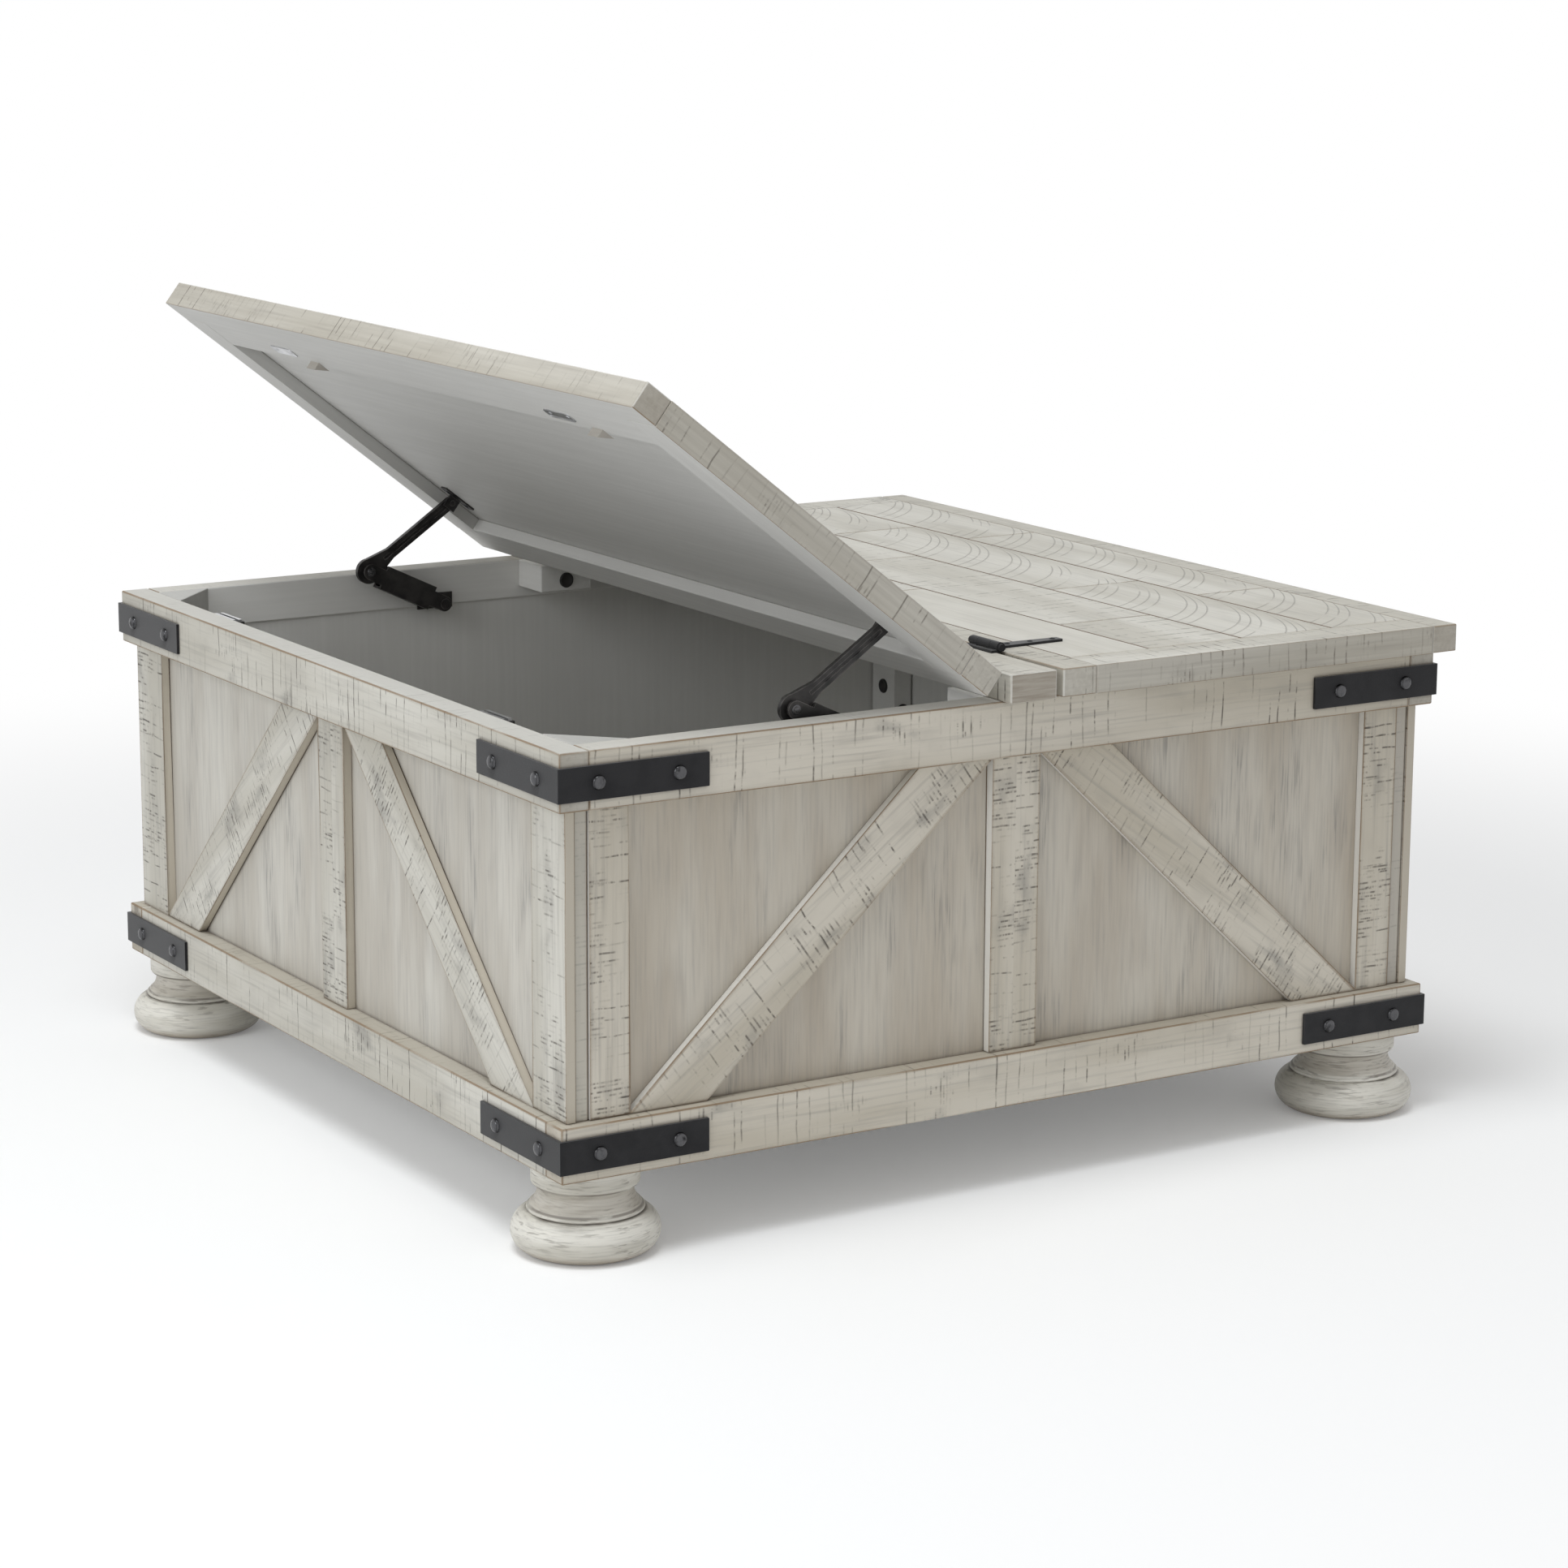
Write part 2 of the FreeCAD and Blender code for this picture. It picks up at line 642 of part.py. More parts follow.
def lid_boards(hand, side):
    thick = "table_top - lid_base"
    tongue_half = "lid_half - end_border - end_tongue"
    hinge_x = mirrored(side, "lid_start", "hinge_border")
    hinge_tongue_x = mirrored(side, "field_start", "hinge_tongue")
    edge_x = mirrored(side, "field_end", "edge_border")
    edge_tongue_x = mirrored(side, "field_end - edge_tongue", "edge_tongue")
    field_x = mirrored(side, "field_start", "field_end - field_start")
    for kind, x, width, tongue_x, tongue in (
        ("hinge", hinge_x, "hinge_border", hinge_tongue_x, "hinge_tongue"),
        ("edge", edge_x, "edge_border", edge_tongue_x, "edge_tongue"),
    ):
        name = f"{hand}_lid_{kind}_board"
        border = box(name + "_border", (width, "2 * lid_half", thick), (x, "-lid_half", "lid_base"))
        lip = box(name + "_tongue", (tongue, f"2 * ({tongue_half})", "tongue_thickness"),
                  (tongue_x, f"-({tongue_half})", "lid_base"))
        part(swing(fuse(name, [border, lip]), side), name)
    for end, end_sign in ENDS.items():
        name = f"{hand}_lid_{end}_board"
        border = box(name + "_border", ("field_end - field_start", "end_border", thick),
                     (field_x, mirrored(end_sign, "field_half", "end_border"), "lid_base"))
        lip = box(name + "_tongue", ("field_end - field_start", "end_tongue", "tongue_thickness"),
                  (field_x, mirrored(end_sign, tongue_half, "end_tongue"), "lid_base"))
        part(swing(fuse(name, [border, lip]), side), name)
    name = f"{hand}_lid_panel"
    sheet_panel = box(name + "_sheet", ("field_end - field_start", "2 * field_half", "plank_base - tongue_top"),
                      (field_x, "-field_half", "tongue_top"))
    part(swing(group(name, [sheet_panel]), side), name)


def lid_planks(hand, side):
    """Four rows of planks, each cut at two staggered joints."""
    rows = (
        ("field_end - outer_row", "outer_row", "joint_row_one"),
        ("field_end - outer_row - plank_width", "plank_width", "joint_row_two"),
        ("field_start + outer_row", "plank_width", "joint_row_three"),
        ("field_start", "outer_row", "joint_row_four"),
    )
    half_gap = "plank_gap / 2"
    planks = []
    for start, width, joint in rows:
        x = mirrored(side, f"{start} + {half_gap}", f"{width} - plank_gap")
        cuts = ("-field_half", joint, f"{joint} + joint_span", "field_half")
        for low, high in zip(cuts, cuts[1:]):
            planks.append(box(f"{hand}_plank", (f"{width} - plank_gap", f"{high} - ({low}) - plank_gap",
                                                "plank_thickness"), (x, f"{low} + {half_gap}", "plank_base")))
    name = f"{hand}_lid_planks"
    part(swing(group(name, planks), side), name)


def lid_fittings(hand, side):
    """Strike plates and small locating wedges under the outer edge."""
    strikes = []
    wedges = []
    for end_sign in (-1, 1):
        y = signed(end_sign, "catch_station")
        strike_x = mirrored(side, "inner_x - catch_width / 2 - strike_width / 2", "strike_width")
        strikes.append(box(f"{hand}_strike", ("strike_width", "strike_length", "strike_thickness"),
                           (strike_x, f"{y} - strike_length / 2", "lid_base - strike_thickness")))
        heel = "inner_x - catch_width - wedge_clear"
        corners = [
            (signed(side, heel), "lid_base"),
            (signed(side, heel), "lid_base - wedge_rise"),
            (signed(side, f"{heel} - wedge_width"), "lid_base"),
        ]
        wedges.append(prism(f"{hand}_wedge_{'a' if end_sign < 0 else 'b'}", "XZ_Plane", corners, "wedge_length",
                            ("0", f"{y} - wedge_offset + wedge_length / 2", "0")))
    for name, items in ((f"{hand}_lid_strike_plates", strikes), (f"{hand}_lid_wedges", wedges)):
        part(swing(group(name, items), side), name)


# Strap hinges: a short leaf on the strip, a tapered strap on the lid and a headed pin.

def strip_leaf(name, side, y):
    half = "barrel_length / 2"
    inner = "strap_knuckle / 2 + knuckle_gap / 2"
    clear = "barrel_radius + knuckle_clear"
    plate_x = mirrored(side, "hinge_x - butt_reach", f"butt_reach - ({clear})")
    pieces = [box(name + "_plate", (f"butt_reach - ({clear})", "barrel_length", "leaf_thickness"),
                  (plate_x, f"{y} - {half}", "table_top"))]
    knuckle = f"{half} - ({inner})"
    for low in (f"{y} - {half}", f"{y} + {inner}"):
        lug_x = mirrored(side, f"hinge_x - ({clear})", clear)
        pieces.append(box(name + "_lug", (clear, knuckle, "leaf_thickness"), (lug_x, low, "table_top")))
        pieces.append(cylinder(name + "_knuckle", "barrel_radius", knuckle,
                               (signed(side, "hinge_x"), low, "hinge_z"), Y_AXIS))
    bore = cylinder(name + "_bore", "bore_radius", "barrel_length",
                    (signed(side, "hinge_x"), f"{y} - {half}", "hinge_z"), Y_AXIS)
    return cut(name, fuse(name + "_solid", pieces), bore)


def lid_strap(name, side, y):
    knuckle = "strap_knuckle - knuckle_gap"
    root = "strap_root / 2"
    tip = "strap_tip / 2"
    corners = [
        (signed(side, "hinge_x"), f"{y} - {root}"),
        (signed(side, "hinge_x + strap_reach"), f"{y} - {tip}"),
        (signed(side, "hinge_x + strap_reach"), f"{y} + {tip}"),
        (signed(side, "hinge_x"), f"{y} + {root}"),
    ]
    plate = prism(name + "_plate", "XY_Plane", corners, "leaf_thickness", ("0", "0", "table_top"))
    centre = signed(side, "hinge_x")
    barrel = cylinder(name + "_knuckle", "barrel_radius", knuckle,
                      (centre, f"{y} - ({knuckle}) / 2", "hinge_z"), Y_AXIS)
    bore = cylinder(name + "_bore", "bore_radius", "barrel_length",
                    (centre, f"{y} - barrel_length / 2", "hinge_z"), Y_AXIS)
    return cut(name, fuse(name + "_solid", [plate, barrel]), bore)


def hinge_pin(name, side, y):
    x = signed(side, "hinge_x")
    half = "barrel_length / 2"
    rod = cylinder(name + "_rod", "pin_radius", "barrel_length", (x, f"{y} - {half}", "hinge_z"), Y_AXIS)
    heads = [cylinder(name + "_head", "pin_head_radius", "pin_head_length", (x, low, "hinge_z"), Y_AXIS)
             for low in (f"{y} - {half} - pin_head_length", f"{y} + {half}")]
    return fuse(name, [rod] + heads)


# Lid stays: a channel pivots on the rail, an arm folds into it and ends beside an ear on the lid.

def stay_channel(name, side, y, pose):
    half = "channel_height / 2"
    trough = "channel_length - 2 * web_clear"
    pieces = []
    for low in ("-channel_width / 2", "channel_width / 2 - cheek_thickness"):
        pieces.append(box(name + "_cheek", (trough, "cheek_thickness", "channel_height"),
                          ("web_clear", low, f"-{half}")))
        pieces.append(box(name + "_lugs", ("channel_length", "cheek_thickness", "2 * lug_radius"),
                          ("0", low, "-lug_radius")))
        for x in ("0", "channel_length"):
            pieces.append(cylinder(name + "_end", "lug_radius", "cheek_thickness", (x, low, "0"), Y_AXIS))
    web_z = mirrored(-side, f"{half} - cheek_thickness", "cheek_thickness")
    pieces.append(box(name + "_web", (trough, "channel_width", "cheek_thickness"),
                      ("web_clear", "-channel_width / 2", web_z)))
    pin_length = "channel_width + 2 * stay_head_rise"
    pieces.append(cylinder(name + "_elbow_pin", "stay_pin_radius", pin_length,
                           ("channel_length", f"-({pin_length}) / 2", "0"), Y_AXIS))
    bore = cylinder(name + "_bore", "stay_bore", "channel_width", ("0", "-channel_width / 2", "0"), Y_AXIS)
    item = cut(name, fuse(name + "_solid", pieces), bore)
    return lean(item, side, pose + "_channel_angle", (signed(side, "base_pivot_x"), y, "base_pivot_z"))


def stay_arm(name, side, y, pose):
    half = "arm_thickness / 2"
    pieces = [box(name + "_bar", ("arm_length", "arm_thickness", "arm_height"),
                  ("0", f"-{half}", "-arm_height / 2"))]
    for x, radius in (("0", "elbow_radius"), ("arm_length", "arm_height / 2")):
        pieces.append(cylinder(name + "_end", radius, "arm_thickness", (x, f"-{half}", "0"), Y_AXIS))
    taper = [("0", "-elbow_radius"), ("elbow_taper", "-arm_height / 2"), ("elbow_taper", "arm_height / 2"),
             ("0", "elbow_radius")]
    pieces.append(prism(name + "_elbow_plate", "XZ_Plane", taper, "arm_thickness", ("0", half, "0")))
    tools = [cylinder(name + "_bore", "stay_bore", "arm_thickness", ("0", f"-{half}", "0"), Y_AXIS)]
    for low in (f"-{half}", f"{half} - groove_depth"):
        tools.append(box(name + "_groove",
                         ("arm_length - groove_start - groove_end", "groove_depth", "groove_height"),
                         ("groove_start", low, "-groove_height / 2")))
    item = cut(name, fuse(name + "_solid", pieces), group(name + "_cuts", tools))
    return lean(item, side, pose + "_arm_angle", (signed(side, pose + "_elbow_x"), y, pose + "_elbow_z"))


def lean(item, side, angle, pivot):
    """Turn a link built along +X to its angle above the outward direction's far side."""
    text = angle if side == LEFT else f"180 - ({angle})"
    item.Placement.Rotation = FreeCAD.Rotation(-Y_AXIS, value(text))
    bind(item, ("Placement.Rotation.Angle",), (text,))
    return bind(item, BASE, pivot)


def base_bracket(name, side, end_sign):
    x = signed(side, "base_pivot_x")
    plate_y = mirrored(end_sign, "inner_y - bracket_thickness", "bracket_thickness")
    plate = box(name + "_plate", ("bracket_length", "bracket_thickness", "bracket_height"),
                (f"{x} - bracket_length / 2", plate_y, "base_pivot_z - bracket_height / 2"))
    tip = "stay_station - channel_width / 2 - knuckle_gap"
    pin_y = signed(end_sign, "inner_y - bracket_thickness")
    inward = Y_AXIS * -end_sign
    pin = cylinder(name + "_pin", "stay_pin_radius", f"inner_y - bracket_thickness - ({tip})",
                   (x, pin_y, "base_pivot_z"), inward)
    head = cylinder(name + "_head", "stay_head_radius", "stay_head_rise",
                    (x, signed(end_sign, tip), "base_pivot_z"), inward)
    return fuse(name, [plate, pin, head])


def lid_bracket(name, side, end_sign):
    near = "stay_station - arm_thickness / 2 - ear_gap"
    x = signed(side, "lid_pivot_x")
    plate_y = mirrored(end_sign, f"{near} - lid_plate_depth", "lid_plate_depth")
    plate = box(name + "_plate", ("bracket_length", "lid_plate_depth", "bracket_thickness"),
                (f"{x} - bracket_length / 2", plate_y, "tongue_top - bracket_thickness"))
    ear_y = mirrored(end_sign, f"{near} - bracket_thickness", "bracket_thickness")
    ear = box(name + "_ear", ("2 * ear_half", "bracket_thickness", "tongue_top - lid_pivot_z + ear_half"),
              (f"{x} - ear_half", ear_y, "lid_pivot_z - ear_half"))
    head = cylinder(name + "_head", "stay_pin_radius", "stay_head_rise",
                    (x, signed(end_sign, f"{near} - bracket_thickness"), "lid_pivot_z"), Y_AXIS * -end_sign)
    return fuse(name, [plate, ear, head])


strip_leaves = []
pins = []
brackets = []
catches = []
bars = []
for hand, side in SIDES.items():
    lid_boards(hand, side)
    lid_planks(hand, side)
    lid_fittings(hand, side)
    pose = "open" if side == LEFT else "shut"
    lid_straps, lid_brackets, screws, channels, arms = [], [], [], [], []
    for end, end_sign in ENDS.items():
        spot = f"{hand}_{end}"
        y = signed(end_sign, "hinge_station")
        strip_leaves.append(strip_leaf("strip_leaf_" + spot, side, y))
        pins.append(hinge_pin("hinge_pin_" + spot, side, y))
        lid_straps.append(lid_strap("lid_strap_" + spot, side, y))
        for step in range(3):
            x = signed(side, f"hinge_x + screw_first + {step} * screw_step")
            screws.append(cylinder(f"{hand}_strap_screw", "screw_radius", "screw_rise",
                                   (x, y, "table_top + leaf_thickness")))
        stay_y = signed(end_sign, "stay_station")
        brackets.append(base_bracket("stay_base_" + spot, side, end_sign))
        channels.append(stay_channel("channel_" + spot, side, stay_y, pose))
        arms.append(stay_arm("arm_" + spot, side, stay_y, pose))
        lid_brackets.append(lid_bracket("lid_bracket_" + spot, side, end_sign))
        plate_middle = "(bracket_thickness + lid_plate_depth) / 2"
        screw_y = signed(end_sign, f"stay_station - arm_thickness / 2 - ear_gap - {plate_middle}")
        for offset in ("- bracket_screw_spread / 2", "+ bracket_screw_spread / 2"):
            x = f"{signed(side, 'lid_pivot_x')} {offset}"
            screws.append(cylinder(f"{hand}_bracket_screw", "screw_radius", "screw_rise",
                                   (x, screw_y, "tongue_top - bracket_thickness - screw_rise")))
        catch_x = mirrored(side, "inner_x - catch_width", "catch_width")
        catch_low = f"{signed(end_sign, 'catch_station')} - catch_length / 2"
        catch_base = "rim - catch_drop - bar_rise - catch_height"
        catches.append(box(f"catch_{spot}", ("catch_width", "catch_length", "catch_height"),
                           (catch_x, catch_low, catch_base)))
        for start in ("inner_x - catch_width + bar_inset", "inner_x - bar_inset - bar_width"):
            bars.append(box(f"bar_{spot}", ("bar_width", "catch_length - 2 * bar_inset", "bar_rise"),
                            (mirrored(side, start, "bar_width"), f"{catch_low} + bar_inset",
                             "rim - catch_drop - bar_rise")))
    for name, items in ((f"{hand}_lid_straps", lid_straps), (f"{hand}_lid_screws", screws),
                        (f"{hand}_stay_lid_brackets", lid_brackets)):
        part(swing(group(name, items), side), name)
    part(group(f"{hand}_stay_channels", channels), f"{hand}_stay_channels")
    part(group(f"{hand}_stay_arms", arms), f"{hand}_stay_arms")

for name, items in (("strip_hinge_leaves", strip_leaves), ("hinge_pins", pins), ("stay_base_brackets", brackets),
                    ("catch_bodies", catches), ("catch_bars", bars)):
    part(group(name, items), name)

# Build, check every object, then write one file for each sub-part.

doc.recompute()
failed = [item.Name for item in doc.Objects if {"Invalid", "Error"} & set(item.State)]
if failed:
    raise RuntimeError("failed objects: " + ", ".join(failed))
for item in parts:
    if item.Shape.isNull() or not item.Shape.isValid():
        raise RuntimeError("bad shape: " + item.Label)
os.makedirs("parts", exist_ok=True)
for item in parts:
    item.Shape.exportStep(os.path.join("parts", item.Label + ".step"))
print(len(parts), "sub-parts,", sum(len(item.Shape.Solids) for item in parts), "solids")
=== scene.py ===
# %% [markdown]
# # A whitewashed storage coffee table
#
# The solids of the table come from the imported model: every board, strap, hinge and stay is already in place,
# in metres, with the origin on the floor under the middle of the table. This lesson dresses them. It softens
# the edges, paints the worn whitewash and the black iron, adds the small fasteners, and sets up the studio.

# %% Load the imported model
import json
import math

import bmesh
import bpy
from mathutils import Matrix, Vector


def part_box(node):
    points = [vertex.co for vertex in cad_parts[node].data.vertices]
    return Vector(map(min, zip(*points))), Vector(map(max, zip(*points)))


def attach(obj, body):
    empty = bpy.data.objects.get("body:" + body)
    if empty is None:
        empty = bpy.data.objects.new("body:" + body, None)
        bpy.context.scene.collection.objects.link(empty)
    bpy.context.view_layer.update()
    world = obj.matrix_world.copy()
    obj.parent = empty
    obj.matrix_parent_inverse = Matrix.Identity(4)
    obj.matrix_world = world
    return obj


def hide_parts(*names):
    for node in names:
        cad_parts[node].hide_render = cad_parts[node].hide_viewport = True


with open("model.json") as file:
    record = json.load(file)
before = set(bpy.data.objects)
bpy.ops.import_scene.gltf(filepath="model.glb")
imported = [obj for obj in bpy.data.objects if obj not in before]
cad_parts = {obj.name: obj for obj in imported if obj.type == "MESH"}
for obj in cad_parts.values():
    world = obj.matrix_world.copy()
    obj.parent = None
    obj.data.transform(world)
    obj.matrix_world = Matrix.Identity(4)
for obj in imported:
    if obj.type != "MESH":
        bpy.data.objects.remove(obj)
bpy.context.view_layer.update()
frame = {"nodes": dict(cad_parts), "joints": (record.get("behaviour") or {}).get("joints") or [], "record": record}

nodes = frame["nodes"]

# %% [markdown]
# ## Places that the finishes need
#
# A finish has to know where boards begin and end: which way the grain of each one runs, where the planks are
# cut, and which side of a panel faces the inside. Most of that is read from the model. Edges of the stiles and
# grooves of the feet are given further down, as lengths measured on it. A node may hold several solids, such as
# the twelve planks of a lid, so one helper walks over the mesh and gives the box of each. The left lid is stored
# open, so its paint works in the lid's own shut position, and its opening angle comes from the joint's range.

# %% Measure the boards and the lid hinge
LOW, HIGH = 0, 1
WELD_REACH = 0.00001


def solid_boxes(name):
    """Lowest and highest corner of each separate solid in a node, in a fixed order."""
    shape = bmesh.new()
    shape.from_mesh(nodes[name].data)
    bmesh.ops.remove_doubles(shape, verts=shape.verts, dist=WELD_REACH)
    waiting, boxes = set(shape.verts), []
    while waiting:
        group, edge = set(), [waiting.pop()]
        while edge:
            vert = edge.pop()
            group.add(vert)
            near = {link.other_vert(vert) for link in vert.link_edges} & waiting
            waiting -= near
            edge.extend(near)
        corners = [[pick(v.co[axis] for v in group) for axis in range(3)] for pick in (min, max)]
        boxes.append((Vector(corners[LOW]), Vector(corners[HIGH])))
    shape.free()
    return sorted(boxes, key=lambda box: (*box[LOW], *box[HIGH]))


top_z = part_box("centre_strip")[HIGH].z
rim_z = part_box("centre_strip")[LOW].z
wall_low, wall_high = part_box("trim_front")[LOW].z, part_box("trim_front")[HIGH].z

joints = {joint["name"]: joint for joint in frame["joints"]}
hinge = Vector(joints["left_lid_hinge"]["pos_m"])
lid_opening = math.radians(-joints["left_lid_hinge"]["range_deg"][LOW])
print("rim", round(rim_z, 4), "top", round(top_z, 4), "lid open by", round(math.degrees(lid_opening), 1), "degrees")

# %% [markdown]
# The planks of a lid lie in four rows, each cut twice at its own places. Sorting the boxes of the planks by
# their inner edge gives the borders of the rows, and the ends of the planks give the cuts.

# %% Rows and cuts of the planks
SAME_ROW = 0.001

plank_boxes = solid_boxes("right_lid_planks")
row_borders = sorted({round(corner.x, 4) for box in plank_boxes for corner in box})
row_cuts = []
for border in row_borders[:-1]:
    ends = sorted(high.y for low, high in plank_boxes if abs(low.x - border) < SAME_ROW)
    row_cuts.append(ends[:-1])
print("rows at", row_borders, "cuts", [[round(cut, 3) for cut in cuts] for cuts in row_cuts])

# %% [markdown]
# ## Shader maths as ordinary arithmetic
#
# A finish is built from many small sums. Written as nodes they take a page each, so one class wraps a socket
# and gives it the usual operators: an expression such as `1 - wear` adds the Math node by itself. Every other
# kind of node comes from one method, `node`, which sets the node's own settings first and then its sockets.

# %% The wrapper for shader sockets
class Field:
    """A number, colour or vector that varies over a surface."""

    def __init__(self, tree, socket):
        self.tree = tree
        self.socket = socket

    def node(self, kind, settings=None, inputs=None, output=0):
        made = self.tree.nodes.new(kind)
        for name, setting in (settings or {}).items():
            setattr(made, name, setting)
        for key, given in (inputs or {}).items():
            socket = made.inputs[key]
            if isinstance(given, Field):
                self.tree.links.new(given.socket, socket)
            elif socket.type == "RGBA":
                socket.default_value = (*given, 1.0)
            else:
                socket.default_value = given
        return Field(self.tree, made.outputs[output])

    def math(self, operation, *others):
        values = dict(enumerate((self, *others)))
        return self.node("ShaderNodeMath", {"operation": operation}, values)

    def __add__(self, other):
        return self.math("ADD", other)

    __radd__ = __add__

    def __mul__(self, other):
        return self.math("MULTIPLY", other)

    __rmul__ = __mul__

    def __sub__(self, other):
        return self.math("SUBTRACT", other)

    def __rsub__(self, other):
        return self.node("ShaderNodeMath", {"operation": "SUBTRACT"}, {0: other, 1: self})

    def __truediv__(self, other):
        return self.math("DIVIDE", other)

    def __abs__(self):
        return self.math("ABSOLUTE")

    def above(self, limit):
        return self.math("GREATER_THAN", limit)

    def least(self, other):
        return self.math("MINIMUM", other)

    def most(self, other):
        return self.math("MAXIMUM", other)

    def floor(self):
        return self.math("FLOOR")

    def smooth(self, low, high):
        """0 at low, 1 at high, and a soft step between them; low may be the larger one."""
        return self.node("ShaderNodeMapRange", {"interpolation_type": "SMOOTHSTEP"},
                         {"Value": self, "From Min": low, "From Max": high, "To Min": 0.0, "To Max": 1.0})

    def tint(self, base, colour):
        """Mix two colours; this value is how much of the second one shows."""
        return self.node("ShaderNodeMix", {"data_type": "RGBA"}, {0: self, 6: base, 7: colour}, 2)

    def stretch(self, x, y, z):
        return self.node("ShaderNodeVectorMath", {"operation": "MULTIPLY"}, {0: self, 1: (x, y, z)})

    def split(self):
        first = self.node("ShaderNodeSeparateXYZ", {}, {0: self})
        return [Field(self.tree, part) for part in first.socket.node.outputs]

    def vector(self, x, y, z):
        return self.node("ShaderNodeCombineXYZ", {}, {0: x, 1: y, 2: z})

    def noise(self, scale=1.0, detail=3.0, roughness=0.5):
        return self.node("ShaderNodeTexNoise", {"noise_dimensions": "3D"},
                         {"Vector": self, "Scale": scale, "Detail": detail, "Roughness": roughness})

    def luck(self):
        """A fixed random number from 0 to 1 for each whole number."""
        return self.node("ShaderNodeTexWhiteNoise", {"noise_dimensions": "1D"}, {"W": self})


print("shader operators ready")

# %% [markdown]
# A new material starts from three things: the point on the surface in the object's own coordinates, the
# surface's own direction there, and the shader that the finish feeds. Constants such as the reflectance go
# straight onto the shader's sockets.

# %% Start, close and assign a material
def start_material(name, shine=0.5, **constants):
    material = bpy.data.materials.new(name)
    material.use_nodes = True
    tree = material.node_tree
    shader = tree.nodes["Principled BSDF"]
    shader.inputs["Specular IOR Level"].default_value = shine
    for socket, value in constants.items():
        shader.inputs[socket.replace("_", " ")].default_value = value
    start = Field(tree, None)
    place, facing = [start.node("ShaderNodeTexCoord", output=kind) for kind in ("Object", "Normal")]
    return material, place, facing


def close_material(material, colour, roughness, height, depth):
    tree = material.node_tree
    shader = tree.nodes["Principled BSDF"]
    bump = height.node("ShaderNodeBump", {}, {"Strength": 1.0, "Distance": depth, "Height": height})
    tree.links.new(colour.socket, shader.inputs["Base Color"])
    tree.links.new(roughness.socket, shader.inputs["Roughness"])
    tree.links.new(bump.socket, shader.inputs["Normal"])
    return material


def paint(material, *names):
    for name in names:
        for slot in nodes[name].material_slots:
            slot.material = material
    print(material.name, "on", len(names), "nodes")


def shut_place(place, facing, body):
    """Point and direction as they are with the lid shut, with +X outwards on both lids."""
    if body != "left_lid":
        return place, facing
    angles = (0.0, -lid_opening, 0.0)
    offset = hinge - Matrix.Rotation(-lid_opening, 4, "Y") @ hinge
    closed = place.node("ShaderNodeMapping", {"vector_type": "POINT"},
                        {"Vector": place, "Location": offset, "Rotation": angles})
    turned = facing.node("ShaderNodeMapping", {"vector_type": "VECTOR"}, {"Vector": facing, "Rotation": angles})
    return closed.stretch(-1.0, 1.0, 1.0), turned.stretch(-1.0, 1.0, 1.0)


print("material helpers ready")

# %% [markdown]
# ## Soft edges
#
# No real board has a perfectly sharp edge: sanding and paint round it by about a millimetre, and that thin
# band is what catches the light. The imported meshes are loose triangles, so a Weld modifier joins them first,
# and a Bevel modifier then rounds every edge that is sharper than the limit. Some faces of the open lid are
# marked smooth and would shade as if bent, so a Weighted Normal modifier lets the large faces set the normals.
# The model itself stays as it is.

# %% Round the edges of boards and iron
EDGE_ANGLE = math.radians(35)
BOARD_ROUND, PLANK_ROUND, IRON_ROUND = 0.0012, 0.0008, 0.0005


def soften(name, width):
    weld = nodes[name].modifiers.new("join corners", "WELD")
    weld.merge_threshold = WELD_REACH
    bevel = nodes[name].modifiers.new("soft edges", "BEVEL")
    bevel.width = width
    bevel.segments = 2
    bevel.limit_method = "ANGLE"
    bevel.angle_limit = EDGE_ANGLE
    even = nodes[name].modifiers.new("even faces", "WEIGHTED_NORMAL")
    even.weight = 100
    even.keep_sharp = True


def rails_on(sides):
    return [f"{kind}_rail_{side}" for kind in ("base", "upper") for side in sides]


HANDS = ("left", "right")
LONG_WALLS, SHORT_WALLS = ("front", "back"), HANDS
SIDES = LONG_WALLS + SHORT_WALLS
boards = rails_on(SIDES) + [f"trim_{side}" for side in SIDES]
boards += [f"{hand}_lid_{kind}_board" for hand in HANDS for kind in ("hinge", "edge", "front", "back")]
boards += ["centre_strip", "strip_cleats", "corner_posts", "corner_blocks"]
planks = [f"{hand}_lid_planks" for hand in HANDS]
irons = [f"{hand}_{kind}" for hand in HANDS for kind in ("lid_straps", "stay_channels", "stay_arms")]
irons += ["corner_straps", "catch_bodies"]
for names, width in ((boards, BOARD_ROUND), (planks, PLANK_ROUND), (irons, IRON_ROUND)):
    for name in names:
        soften(name, width)
print("softened the edges of", len([n for n in nodes.values() if n.modifiers]), "nodes")

# %% [markdown]
# ## Whitewash
#
# The boards look like pine, stained grey and brushed over with thin white paint, then rubbed back. Three things
# show: long pale and grey streaks along the grain, fine dark saw marks across it, and bare brown wood where the
# paint wore off the edges. Each board gets its own grain directions: u along it, v and w across. Noise that is
# stretched along u gives streaks. The saw marks are straight lines at uneven steps along u, so u is cut into
# cells and each cell draws one line at a lucky place, or none. The worn edges come from the Bevel node, which
# compares the flat face with a rounded one. The Ambient Occlusion node darkens the corners between boards in a
# thin line: partly glaze that a rag can't reach, partly painted shade. Tilting its normal lets it look to one
# side only, which paints that shade as a shadow on one side. The rounded arrises are faces of their own, which
# lie askew to all three axes, so a board can also have a thin line along them.

# %% Grain, saw marks and worn edges
CORNER_REACH = 0.0050


class Grain:
    """A board's own directions: u along the grain, v and w across it."""

    def __init__(self, u, v, w):
        self.u, self.v, self.w = u, v, w

    def noise(self, along, across, detail, offset):
        return self.u.vector(self.u * along + offset, self.v * across, self.w * across).noise(detail=detail)


